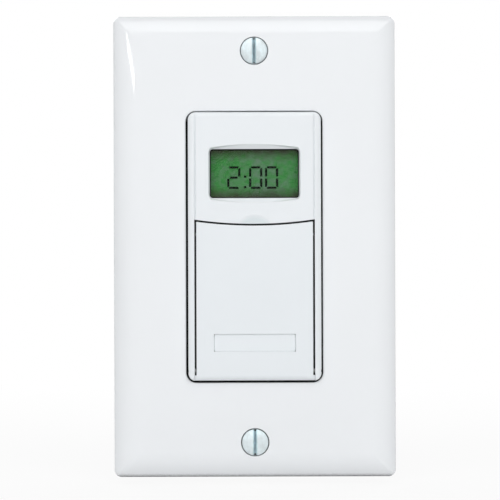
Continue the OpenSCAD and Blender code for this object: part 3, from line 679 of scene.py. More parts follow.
@dataclass(frozen=True)
class Banded(Finish):
    """A lacquered or layered piece with bands across its length."""

    band: Colour = (0.1, 0.1, 0.1)
    period: float = 2.0
    share: float = 0.5
    soft: float = 0.06
    roughness: float = 0.4
    swing: Flat = (0.85, 1.15)
    cloud: float = 0.8
    gain: float = 0.06
    patch: float = 1.5
    texture: float = 0.2
    depth: float = 0.004
    edge: float = 0.1

    def draw(self, shader: Shader) -> bpy.types.Material:
        """Fill the shader's tree.

        Args:
            shader: The material's tree, with its output and place alone.

        Returns:
            The material.
        """
        scale = 1 / (self.period * MM) / BANDS_PER_UNIT
        wave = shader.add("ShaderNodeTexWave", {
            "Vector": shader.place, "Scale": scale, "Distortion": 0.0}, bands_direction="X")
        cut = shader.span(wave.outputs["Fac"], 0.0, 1.0, self.share - self.soft, self.share + self.soft)
        base = self.tints(shader, shader.noise(self.cloud, detail=3.0), self.gain)
        return shader.close({
            "Base Color": shader.mix(cut, base, linear(self.band)),
            "Roughness": shader.uneven(shader.noise(self.patch, detail=3.0), self.roughness, self.swing),
            "Normal": shader.relief(shader.noise(self.texture, detail=2.0), self.depth, self.edge),
        })


@dataclass(frozen=True)
class LiquidCrystal(Finish):
    """The green polariser: blotchy, greyer behind the digits, with painted shade, darker and browner, along
    its upper and lower edges.
    """

    grey: Colour = (0.40, 0.485, 0.42)
    shade: Colour = (0.245, 0.235, 0.195)
    middle: float = 18.0
    dull_x: float = 1.8
    dull_half: float = 8.0
    dullness: Flat = (0.5, 0.06)
    blotch: float = 1.5
    blotch_from: Flat = (0.36, 0.66)
    blotch_to: Flat = (-0.3, 0.42)
    speck: float = 0.5
    speck_from: Flat = (0.36, 0.64)
    gain: float = 0.2
    rim: float = 0.9
    rim_at: Flat = (4.325, 7.15)
    rag: float = 1.7
    rag_depth: float = 2.6
    roughness: float = 0.42
    shine: float = 0.06
    texture: float = 0.12
    depth: float = 0.003

    def draw(self, shader: Shader) -> bpy.types.Material:
        """Fill the shader's tree.

        Args:
            shader: The material's tree, with its output and place alone.

        Returns:
            The material.
        """
        parts = shader.add("ShaderNodeSeparateXYZ", {0: shader.place}).outputs
        aside = shader.sum(Rule.ABSOLUTE, shader.sum(Rule.SUBTRACT, parts["X"], self.dull_x * MM))
        dull = shader.span(aside, *self.dullness, start=0.0, end=self.dull_half * MM)
        blotch = shader.span(shader.noise(self.blotch, detail=4.0), *self.blotch_to, *self.blotch_from)
        greyness = shader.sum(Rule.ADD, dull, blotch, clamp=True)
        speck = shader.span(shader.noise(self.speck, detail=3.0), 0.0, 1.0, *self.speck_from)
        green = shader.mix(greyness, self.tints(shader, speck, self.gain), linear(self.grey))
        # painted shade, darker and browner, along the cell's upper and lower edges
        far = shader.sum(Rule.ABSOLUTE, shader.sum(Rule.SUBTRACT, parts["Z"], self.middle * MM))
        ragged = shader.sum(Rule.MULTIPLY_ADD, shader.noise(self.rag, detail=3.0), self.rag_depth * MM, far)
        rim = shader.span(ragged, 0.0, self.rim, self.rim_at[0] * MM, self.rim_at[1] * MM)
        return shader.close({
            "Base Color": shader.mix(rim, green, linear(self.shade)), "Roughness": self.roughness,
            "Specular IOR Level": self.shine,
            "Normal": shader.relief(shader.noise(self.texture, detail=2.0), self.depth, edge=0.0),
        })


@dataclass(frozen=True)
class ClearWindow(Finish):
    """Clear acrylic: lets everything through and shines more at a slant, with faint scuffs."""

    least: float = 0.006
    slope: float = 5.0
    scuff: float = 0.9
    scuffs: Flat = (0.03, 0.09)

    def draw(self, shader: Shader) -> bpy.types.Material:
        """Fill the shader's tree.

        Args:
            shader: The material's tree, with its output and place alone.

        Returns:
            The material.
        """
        facing = shader.add("ShaderNodeLayerWeight", {"Blend": 0.5}).outputs["Facing"]
        gloss = shader.span(shader.sum(Rule.POWER, facing, self.slope), self.least, 1.0, start=0.0, end=1.0)
        scuffs = shader.span(shader.noise(self.scuff, detail=5.0), *self.scuffs)
        clear = shader.add("ShaderNodeBsdfTransparent", {"Color": linear(self.colour)}).outputs[0]
        shine = shader.add("ShaderNodeBsdfAnisotropic", {"Roughness": scuffs}).outputs[0]
        return shader.end(shader.add("ShaderNodeMixShader", {0: gloss, 1: clear, 2: shine}))


PLATE = Moulded(
    "plate_gloss", (0.935, 0.945, 0.955), roughness=0.04, texture=1.2, depth=0.0004, cloud=20.0,
    gain=0.006, edge=0.0, gap=PaintedGapShade(reach=4.0, below=5.58),
)
# Grey painted shade on the countersink walls round the screw heads; the plastic there is as white as the
# plate
COUNTERSINK_SHADE = Moulded(
    "countersink_shade", (0.55, 0.57, 0.58), texture=1.2, depth=0.002, cloud=20.0, gain=0.02, edge=0.0,
    gap=PaintedGapShade(reach=4.0, below=5.75),
)
BEZEL = Moulded(
    "bezel_satin", (0.92, 0.936, 0.948), roughness=0.34, texture=0.16, depth=0.003, cloud=16.0,
    gain=0.008, edge=0.14, gap=PaintedGapShade(reach=4.0, below=7.2),
    # painted shade in the finger scoop above the door
    scoop_shade=ScoopShade(at=(0.0, 2.915), radius=5.0, soft=1.1, floor_z=6.2, tone=(0.885, 0.925, 0.925)),
)
DOOR = Moulded(
    "door_satin", (0.913, 0.931, 0.944), roughness=0.36, texture=0.16, depth=0.003, cloud=16.0,
    gain=0.008, edge=0.0, gap=PaintedGapShade(reach=4.0, below=7.45),
)
ZINC = Plated(
    "zinc_plate", (0.905, 0.94, 0.95), roughness=0.62, marks=0.3, depth=0.006, gain=0.12,
    gap=PaintedGapShade(reach=2.4, below=5.5),
)
# Painted shade in the screws' slots: walls darker than the head's zinc, the floor darker still
SLOT_WALL_SHADE = Plated("slot_wall_shade", (0.81, 0.885, 0.90), roughness=0.5, marks=0.12, depth=0.006, gain=0.2)
SLOT_FLOOR_SHADE = Plated("slot_floor", (0.74, 0.81, 0.84), roughness=0.6, marks=0.12, depth=0.006, gain=0.3)
STEEL = Galvanised("galvanised_sheet", (0.80, 0.81, 0.82))
SPRING = Plated(
    "spring_wire", (0.70, 0.71, 0.72), roughness=0.25, marks=0.06, depth=0.002, grain=Grain.NONE,
)
# Darker than bare steel: painted shade on the hinge pin where it shows in the door's side slits
PIN_IN_SHADE = Plated(
    "pin_painted_shade", (0.53, 0.535, 0.54), roughness=0.34, marks=0.06, depth=0.002, gain=0.12,
    grain=Grain.NONE,
)
FIBRE = Moulded(
    "pressed_fibre", (0.60, 0.48, 0.33), roughness=0.75, texture=0.35, depth=0.03, cloud=1.2, gain=0.16,
)
GROUND = Plated(
    "green_dyed_plate", (0.16, 0.52, 0.27), roughness=0.32, marks=0.12, depth=0.006, gain=0.2,
    grain=Grain.ALONG_Y,
)
CLEAR = ClearWindow("clear_acrylic", (0.985, 1.0, 0.99))
CRYSTAL = LiquidCrystal("green_polariser", (0.25, 0.50, 0.265))
SEGMENT = Moulded(
    "dark_segment", (0.012, 0.03, 0.022), roughness=0.5, texture=0.12, depth=0.002, cloud=1.0, gain=0.2,
    edge=0.0, shine=0.06,
)
# a black band on the cell round the window's edge
DARK_BORDER = Moulded(
    "black_border", (0.03, 0.04, 0.035), roughness=0.5, texture=0.12, depth=0.002, cloud=2.0, gain=0.2,
    edge=0.0, shine=0.06,
)
HOLDER = Moulded(
    "holder_ivory", (0.86, 0.85, 0.80), roughness=0.5, texture=0.2, depth=0.006, cloud=6.0, gain=0.03,
)
ZEBRA = Banded("layered_rubber", (0.16, 0.16, 0.17), band=(0.62, 0.60, 0.60), period=0.4, roughness=0.65)
GUIDE = Moulded(
    "frosted_acrylic", (0.86, 0.93, 0.87), roughness=0.42, texture=0.2, depth=0.01, cloud=5.0, gain=0.03,
)
RESIN = Moulded(
    "led_resin", (0.93, 0.91, 0.72), roughness=0.2, texture=0.3, depth=0.002, cloud=2.0, gain=0.05,
    coat=0.5,
)
KEY = Moulded(
    "key_grey", (0.57, 0.60, 0.63), roughness=0.5, texture=0.14, depth=0.008, cloud=3.0, gain=0.03,
    edge=0.15,
)
PLUNGER = Moulded(
    "plunger_white", (0.83, 0.84, 0.85), roughness=0.48, texture=0.14, depth=0.007, cloud=4.0, gain=0.02,
    edge=0.15,
)
RESET = Moulded(
    "reset_red", (0.66, 0.16, 0.12), roughness=0.42, texture=0.14, depth=0.006, cloud=2.0, gain=0.05,
)
STEM = Moulded(
    "stem_brown", (0.32, 0.20, 0.12), roughness=0.45, texture=0.14, depth=0.006, cloud=2.0, gain=0.06,
)
SWITCH = Moulded(
    "switch_black", (0.075, 0.075, 0.08), roughness=0.5, texture=0.14, depth=0.008, cloud=2.0, gain=0.1,
)
INK = Moulded(
    "sign_ink", (0.95, 0.95, 0.95), roughness=0.55, texture=0.1, depth=0.003, cloud=1.0, gain=0.03,
    edge=0.0,
)
BOARD = SolderMask("solder_mask", (0.06, 0.30, 0.14))
EPOXY = Moulded(
    "chip_epoxy", (0.06, 0.06, 0.065), roughness=0.6, texture=0.12, depth=0.012, cloud=1.5, gain=0.12,
)
CAN = Plated("drawn_can", (0.80, 0.81, 0.82), roughness=0.24, marks=0.08, depth=0.003, gain=0.08)
GOLD = Plated(
    "gold_flash", (0.86, 0.68, 0.32), roughness=0.26, marks=0.1, depth=0.003, grain=Grain.ALONG_Y,
)
RELAY = Moulded(
    "relay_blue", (0.07, 0.22, 0.46), roughness=0.35, texture=0.16, depth=0.005, cloud=5.0, gain=0.06,
    coat=0.2,
)
FILM = Moulded(
    "film_yellow", (0.80, 0.62, 0.13), texture=0.2, depth=0.006, cloud=4.0, gain=0.06, coat=0.2,
)
SLEEVE = Banded(
    "shrunk_sleeve", (0.07, 0.09, 0.20), band=(0.62, 0.65, 0.70), period=8.0, share=0.9, roughness=0.35,
)
VARISTOR = Moulded(
    "dipped_blue", (0.12, 0.27, 0.52), roughness=0.28, texture=0.9, depth=0.03, cloud=3.0, gain=0.08,
    coat=0.4,
)
RESISTOR = Banded(
    "lacquered_green", (0.33, 0.50, 0.39), band=(0.45, 0.12, 0.08), period=2.2, share=0.7, roughness=0.35,
)
BRASS = Plated(
    "stamped_brass", (0.80, 0.63, 0.33), roughness=0.32, marks=0.12, depth=0.005, gain=0.14,
    grain=Grain.ALONG_Y,
)
BRIGHT_BRASS = Plated(
    "bright_brass", (0.86, 0.69, 0.36), roughness=0.24, marks=0.12, depth=0.006, gain=0.12,
)
NICKEL = Plated("nickel_plate", (0.82, 0.82, 0.79), roughness=0.24, marks=0.12, depth=0.006, gain=0.12)
CASE = Moulded(
    "case_charcoal", (0.155, 0.16, 0.17), roughness=0.55, texture=0.22, depth=0.02, cloud=8.0, gain=0.06,
    edge=0.2,
)


# Sub-assemblies

# Angle off its axis where the section of a dome starts, so that a small cap closes it
DOME_START = 0.02


class Assembly:
    """A group of pieces that are built and dressed together."""

    title: str

    def build(self) -> list[bpy.types.Object]:
        """Make the group's own pieces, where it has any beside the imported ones."""
        return []

    def finishes(self) -> dict[str, Finish]:
        """The finish of each CAD node that stays, where any does."""
        return {}

    def make(self) -> list[str]:
        """Build the pieces and dress the nodes that stay.

        Returns:
            The names of them all.
        """
        built = [piece.name for piece in self.build()]
        stays = self.finishes()
        for node, finish in stays.items():
            dress(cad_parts[node], finish)
        return built + list(stays)


def dress(obj: bpy.types.Object, finish: Finish) -> None:
    """Give a piece one finish all over."""
    obj.data.materials.clear()
    obj.data.materials.append(finish.material())


def tie(obj: bpy.types.Object, body: Body, slot: str, *nodes: str) -> bpy.types.Object:
    """Tie a new piece to the frame.

    Args:
        obj: The piece, dressed and where it belongs.
        body: The body that it moves with.
        slot: Not used.
        nodes: The CAD nodes that it stands for.

    Returns:
        The piece.
    """
    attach(obj, body.value)
    if nodes:
        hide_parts(*nodes)
    return obj


def place(obj: bpy.types.Object, finish: Finish, body: Body, slot: str, *nodes: str) -> bpy.types.Object:
    """Dress a new piece and tie it to the frame.

    Args:
        obj: The piece, where it belongs.
        finish: Its finish.
        body: The body that it moves with.
        slot: Not used; only passed on to tie().
        nodes: The CAD nodes that it stands for.

    Returns:
        The piece.
    """
    dress(obj, finish)
    return tie(obj, body, slot, *nodes)


@dataclass
class WallPlate(Assembly):
    """The moulded wall plate: crowned front, hollow back, ribs and countersunk screw holes."""

    title = "wall plate"
    width: float = 69.85
    height: float = 114.3
    depth: float = 5.6
    wall: float = 2.2
    rim: float = 2.0
    rim_edge: float = 0.2
    rim_margin: float = 0.3
    hollow_r: float = 0.5
    crown: float = 6.2
    crown_drop: float = 2.4
    crown_steps: int = 16
    corner_r: float = 1.8
    crease_r: float = 0.35
    edge_r: float = 0.8
    edge_steps: int = 8
    flat_margin: float = 0.25
    opening_w: float = 33.7
    opening_h: float = 67.1
    opening_at: Flat = (-0.07, -0.05)
    opening_r: float = 2.45
    opening_edge: float = 0.28
    opening_steps: int = 5
    lip_edge: float = 0.12
    lip_margin: float = 0.2
    rear_z: float = 1.5
    rib_x: float = 17.85
    rib_t: float = 1.0
    rib_r: float = 0.25
    rib_steps: int = 3
    rib_root: Section = ((0.2, 0.0), (0.05, 0.06), (0.0, 0.2))
    rib_end: Section = ((0.0, 0.15), (0.12, 0.0))
    boss_r: float = 3.2
    boss_root: Section = ((0.4, 0.0), (0.1, 0.1), (0.0, 0.4))
    boss_end: Section = ((0.0, 0.15), (0.15, 0.0))
    screw_y: float = 48.42
    hole_r: float = 2.05
    hole_steps: int = 64
    overcut: float = 0.5
    cone_z: float = 3.99
    cone_r: float = 3.49
    cone_edge: Flat = (0.06, 0.09)
    cone_flare: Flat = (0.54, 0.4)

    @property
    def ceiling(self) -> float:
        """Height of the ceiling of the plate's hollow."""
        return self.depth - self.wall

    def outside(self) -> list[Flat]:
        """Section of the plate's outside.

        Returns:
            Inset and height from the rear rim over the crown to the flat front.
        """
        big = arc_radius(self.crown, self.crown_drop)
        axis_z = self.depth - big
        reach = self.crown - self.edge_r
        round_z = axis_z + math.sqrt((big - self.edge_r) ** 2 - reach ** 2)
        turn = math.asin(reach / (big - self.edge_r))
        edge, eased = self.rim_edge, self.rim_edge * EASE
        section = [(edge, 0.0), (eased, eased), (0.0, edge), (0.0, round_z - self.rim_margin)]
        for a in spread(math.pi / 2, turn, self.edge_steps):
            section.append((self.edge_r * (1 - math.sin(a)), round_z + self.edge_r * math.cos(a)))
        for a in spread(turn, 0.0, self.crown_steps)[1:]:
            section.append((self.crown - big * math.sin(a), axis_z + big * math.cos(a)))
        return section + [(self.crown + self.flat_margin, self.depth)]

    def inside(self) -> list[Flat]:
        """Section of the plate's hollow.

        Returns:
            Inset and height from the rear rim to the ceiling.
        """
        r, eased = self.hollow_r, self.hollow_r * EASE
        return [(self.rim - self.rim_edge, 0.0), (self.rim, self.rim_edge), (self.rim, self.ceiling - r),
                (self.rim + eased, self.ceiling - eased), (self.rim + r, self.ceiling)]

    def lip(self) -> list[Flat]:
        """Section of the opening's wall.

        Returns:
            How far out of the opening it is at each height, from the ceiling to the flat front.
        """
        r, edge = self.opening_edge, self.lip_edge
        turns = spread(math.pi / 2, 0.0, self.opening_steps)
        bend = [(r * (1 - math.sin(a)), self.depth - r + r * math.cos(a)) for a in turns]
        return [(edge, self.ceiling), (0.0, self.ceiling + edge), *bend, (r + self.lip_margin, self.depth)]

    def stem(self, root: Section, end: Section) -> list[Flat]:
        """Section of what stands behind the front.

        Args:
            root: Its fillet: how far out of its side and how far below the ceiling.
            end: Its rear edge: how far inside its side and how far above its rear end.

        Returns:
            How far out of its side it is at each height, from the ceiling to its rear end.
        """
        fillet = [(out, self.ceiling - down) for out, down in root]
        return fillet + [(-inside, self.rear_z + up) for inside, up in end]

    def outline(self, inset: float) -> list[Flat]:
        """The plate's outline, moved in from its edge."""
        radius = max(self.corner_r - inset, self.crease_r)
        return rounded_outline(self.width / 2 - inset, self.height / 2 - inset, radius)

    def opening(self, out: float) -> list[Flat]:
        """The opening's outline, moved out from its edge."""
        return rounded_outline(self.opening_w / 2 + out, self.opening_h / 2 + out, self.opening_r + out)

    def boss(self, draft: Draft, y: float) -> Ring:
        """Draw a screw boss behind the front.

        Args:
            draft: The plate's draft.
            y: The screw's height.

        Returns:
            The ring where the boss meets the hollow's ceiling.
        """
        section = self.stem(self.boss_root, self.boss_end)
        rings = [draft.ring(circle(self.boss_r + out), z, (0.0, y)) for out, z in section]
        draft.skin(rings)
        draft.cap(rings[-1])
        return rings[0]

    def rib(self, draft: Draft, x: float) -> Ring:
        """Draw a stiffening rib behind one side of the opening.

        Args:
            draft: The plate's draft.
            x: Where the rib stands.

        Returns:
            The ring where the rib meets the hollow's ceiling.
        """
        half_w, half_h = self.rib_t / 2, self.opening_h / 2
        rings = []
        for out, z in self.stem(self.rib_root, self.rib_end):
            outline = rounded_outline(half_w + out, half_h + out, self.rib_r + out, self.rib_steps)
            rings.append(draft.ring(outline, z, (x, 0.0)))
        draft.skin(rings)
        draft.cap(rings[-1])
        return rings[0]

    def drill(self) -> bpy.types.Object:
        """Make the volume of both countersunk screw holes, with the rounded edge at the front.

        Returns:
            The cutter, dressed as the walls that it leaves.
        """
        (edge, edge_z), (flare, flare_z) = self.cone_edge, self.cone_flare
        section = ((self.hole_r, self.rear_z - self.overcut), (self.hole_r, self.cone_z),
                   (self.cone_r - edge, self.depth - edge_z), (self.cone_r + flare, self.depth + flare_z))
        draft = Draft()
        for side in SIDES:
            draft.turned(section, (0.0, side * self.screw_y), self.hole_steps)
        cutter = draft.finish("hole_cutter")
        dress(cutter, COUNTERSINK_SHADE)
        return cutter

    def build(self) -> list[bpy.types.Object]:
        """Make the plate.

        Returns:
            The plate alone.
        """
        draft = Draft()
        outer = [draft.ring(self.outline(inset), z) for inset, z in self.outside()]
        inner = [draft.ring(self.outline(inset), z) for inset, z in self.inside()]
        lip = [draft.ring(self.opening(out), z, self.opening_at) for out, z in self.lip()]
        draft.skin(outer)
        draft.skin([outer[0]] + inner)
        draft.skin(lip)
        bosses = [self.boss(draft, side * self.screw_y) for side in SIDES]
        ribs = [self.rib(draft, side * self.rib_x) for side in SIDES]
        draft.fill([outer[-1], lip[-1]])
        draft.fill([inner[-1], lip[0]] + bosses + ribs)
        shell = draft.finish("plate_shell")
        dress(shell, PLATE)
        carve(shell, self.drill())
        return [tie(shell, Body.FRAME, "plate_plastic", "wall_plate")]


@dataclass
class MachineScrews(Assembly):
    """A pair of slotted machine screws with rolled threads, one above and one below the insert."""

    title: str
    name: str
    node: str
    y: float
    head: Section
    slot_floor: float
    thread_from: float
    tip_z: float
    shank_r: float = 1.75
    sides: int = 40
    tip_share: float = 0.72
    tip_end: float = 0.001
    pitch: float = 0.794
    thread_depth: float = 0.32
    crest: float = 0.7
    runout: float = 0.8
    turn_steps: int = 8
    slot_w: float = 1.1
    slot_reach: float = 4.0
    slot_steps: int = 24
    flank: float = 0.3
    kerf_w: float = 0.44
    kerf_edge: float = 0.03

    def thread(self, angle: float, z: float) -> float:
        """The thread's cut into the screw's outside.

        Args:
            angle: Angle round the axis.
            z: Height off the wall.

        Returns:
            Change of the radius, which is none above the thread.
        """
        if z >= self.thread_from:
            return 0.0
        ends = min(1.0, max(0.0, z - self.tip_z) / self.runout, (self.thread_from - z) / self.runout)
        wave = 0.5 - 0.5 * math.cos(2 * math.pi * (z / self.pitch - angle / (2 * math.pi)))
        return -self.thread_depth * (1 - ends * wave ** self.crest)

    def profile(self) -> list[Flat]:
        """Section of the screw before its thread is cut.

        Returns:
            Radius and height from its head to its tip.
        """
        steps = int((self.thread_from - self.tip_z) / self.pitch * self.turn_steps)
        shank = [(self.shank_r, z) for z in spread(self.thread_from, self.tip_z, steps)]
        return [*self.head, *shank, (self.shank_r * self.tip_share, self.tip_z - self.tip_end)]

    def crown(self, away: float) -> float:
        """Height of the head's top at a distance from its axis, level past its rim.

        Args:
            away: The distance.

        Returns:
            The height.
        """
        inside = self.head[0]
        for outside in self.head[1:]:
            if outside[0] <= inside[0]:
                break
            if away <= outside[0]:
                share = max(0.0, (away - inside[0]) / (outside[0] - inside[0]))
                return inside[1] + (outside[1] - inside[1]) * share
            inside = outside
        return inside[1]

    def build(self) -> list[bpy.types.Object]:
        """Make both screws and mill their slots, whose walls lean out and follow the head's top.

        Returns:
            Both screws as one piece.
        """
        draft, walls, kerf = Draft(), Draft(), Draft()
        low, high, reach = self.kerf_w / 2, self.slot_w - self.kerf_w / 2, self.slot_reach
        mouth = ((-low, -self.flank), (low, -self.flank), (high, self.flank), (-high, self.flank))
        for side in SIDES:
            y = side * self.y
            draft.turned(self.profile(), (0.0, y), self.sides, self.thread)
            rings = []
            for along in spread(-reach, reach, self.slot_steps):
                z = self.crown(abs(along))
                rings.append(walls.loop((x, y + along, z + rise) for x, rise in mouth))
            walls.solid(rings)
            kerf.box((-low, y - reach, self.slot_floor), (low, y + reach, self.head[0][1]), self.kerf_edge)
        screws = draft.finish(self.name)
        dress(screws, ZINC)
        # the slot cutters carry painted shade onto the walls and floor that they leave
        for cutter, finish in ((walls, SLOT_WALL_SHADE), (kerf, SLOT_FLOOR_SHADE)):
            tool = cutter.finish("slot_cutter")
            dress(tool, finish)
            carve(screws, tool)
        return [tie(screws, Body.FRAME, "zinc_steel", self.node)]


def dome(radius: float, top: float, rise: float, share: float, steps: int) -> list[Flat]:
    """Section of a domed top.

    Args:
        radius: Radius of its rim.
        top: Height of its crown.
        rise: Rise of the crown above the rim.
        share: How much of the way to the rim it runs.
        steps: Edges along it.

    Returns:
        Radius and height from beside the crown towards the rim.
    """
    ball = arc_radius(radius, rise)
    turns = spread(DOME_START, math.asin(radius / ball) * share, steps)
    return [(ball * math.sin(a), top - ball + ball * math.cos(a)) for a in turns]


def oval_head(radius: float, rim_z: float, rise: float, neck: float, cone: float) -> Section:
    """Section of a countersunk head with a domed top.

    Args:
        radius: Radius of its rim.
        rim_z: Height of the rim.
        rise: Rise of the dome above the rim.
        neck: Radius where the cone ends.
        cone: Height of the cone.

    Returns:
        Radius and height from the crown of the dome to the neck.
    """
    land, edge, edge_end = 0.04, 0.06, 0.14
    top = dome(radius, rim_z + rise, rise, share=0.985, steps=12)
    return (*top, (radius, rim_z - land), (radius - edge, rim_z - edge_end), (neck, rim_z - cone))


def pan_head(radius: float, under: float, height: float, neck: float, neck_z: float) -> Section:
    """Section of a pan head and its plain neck.

    Args:
        radius: Radius of the head.
        under: Height of its underside.
        height: Its own height.
        neck: Radius of the neck.
        neck_z: Height where the neck ends.

    Returns:
        Radius and height from the crown of the head to the neck's end.
    """
    domed, edge, edge_in = 0.35, 0.15, 0.12
    rim_z = under + height * (1 - domed)
    top = dome(radius, under + height, height * domed, share=0.97, steps=8)
    return (*top, (radius, rim_z - edge), (radius, under + edge), (radius - edge_in, under),
            (neck, under), (neck, neck_z))


class MountingStrap(Assembly):
    """The steel strap with its fibre washers and its ground screw, all as packed."""

    title = "mounting strap"

    def finishes(self) -> dict[str, Finish]:
        """The finish of each CAD node that stays."""
        return {"mounting_strap": STEEL, "screw_retainers": FIBRE, "ground_screw": GROUND}


class Figure(Enum):
    """The figures that the display shows, by the bars that they light."""

    ZERO = ("top", "upper_left", "upper_right", "lower_left", "lower_right", "bottom")
    TWO = ("top", "upper_right", "middle", "lower_left", "bottom")


@dataclass
class Display(Assembly):
    """The display: window, liquid-crystal cell with its segments, and what stands behind it."""

    title = "display"
    middle_y: float = 18.0
    window_w: float = 22.0
    window_h: float = 12.1
    cell_front: float = 4.9
    border: float = 0.26
    border_under: float = 0.3
    border_r: float = 0.8
    border_steps: int = 6
    film: float = 0.03
    digit_w: float = 3.27
    digit_h: float = 5.6
    stroke: float = 0.56
    gap: float = 0.13
    corner: float = 0.46
    waist: float = 0.26
    digits_y: float = 17.06
    digit_xs: tuple[float, ...] = (-5.09, 0.33, 4.27)
    reading: tuple[Figure, ...] = (Figure.TWO, Figure.ZERO, Figure.ZERO)
    colon_x: float = -2.29
    colon_ys: Flat = (17.3, 14.7)
    dot: float = 0.29
    dot_r: float = 0.05
    dot_steps: int = 2

    def segments(self) -> dict[str, list[Flat]]:
        """Outlines of the seven bars of one digit.

        Returns:
            Each bar's points about the digit's middle, by the bar's name.
        """
        w, h, t, g, c = self.digit_w / 2, self.digit_h / 2, self.stroke, self.gap, self.corner
        side = [(w, h - c), (w, self.waist), (w - t, self.waist), (w - t, h - t - g), (w - c + g, h - c)]
        half = [(w - c, h), (w - c, h - c + g), (w - t - g, h - t)]
        level = half + [(-x, y) for x, y in reversed(half)]
        cross = [(x * (w - t - g), y * t / 2) for x, y in ((1, 1), (-1, 1), (-1, -1), (1, -1))]
        return {
            "top": level, "bottom": [(x, -y) for x, y in level], "middle": cross,
            "upper_right": side, "upper_left": [(-x, y) for x, y in side],
            "lower_right": [(x, -y) for x, y in side], "lower_left": [(-x, -y) for x, y in side],
        }

    def bar(self, draft: Draft, outline: Sequence[Flat], at: Flat) -> None:
        """Draw one lit mark on the cell."""
        draft.solid([draft.ring(outline, z, at) for z in (self.cell_front, self.cell_front + self.film)])

    def lit_segments(self) -> bpy.types.Object:
        """Make the figures and the colon of the time.

        Returns:
            All of them as one piece.
        """
        draft = Draft()
        bars = self.segments()
        for figure, x in zip(self.reading, self.digit_xs):
            for name in figure.value:
                self.bar(draft, bars[name], (x, self.digits_y))
        for y in self.colon_ys:
            dot = rounded_outline(self.dot, self.dot, self.dot_r, self.dot_steps)
            self.bar(draft, dot, (self.colon_x, y))
        return place(draft.finish("display_segments"), SEGMENT, Body.FRAME, "lcd_green")

    def window_border(self) -> bpy.types.Object:
        """Make the black border round the window.

        Returns:
            The border.
        """
        draft = Draft()
        under, inside = self.border_under, -self.border
        rings = []
        for out, rise in ((under, 0.0), (under, self.film), (inside, self.film), (inside, 0.0)):
            half_w, half_h = self.window_w / 2 + out, self.window_h / 2 + out
            outline = rounded_outline(half_w, half_h, self.border_r + out, self.border_steps)
            rings.append(draft.ring(outline, self.cell_front + rise, (0.0, self.middle_y)))
        draft.skin(rings + rings[:1])
        return place(draft.finish("display_border"), DARK_BORDER, Body.FRAME, "lcd_green")

    def build(self) -> list[bpy.types.Object]:
        """Make the lit segments and the black border."""
        return [self.lit_segments(), self.window_border()]

    def finishes(self) -> dict[str, Finish]:
        """The finish of each CAD node that stays.

        Returns:
            Finishes by the nodes' names.
        """
        return {"display_lens": CLEAR, "lcd_panel": CRYSTAL, "lcd_holder": HOLDER, "zebra_strips": ZEBRA,
                "light_guide": GUIDE, "backlight_leds": RESIN}


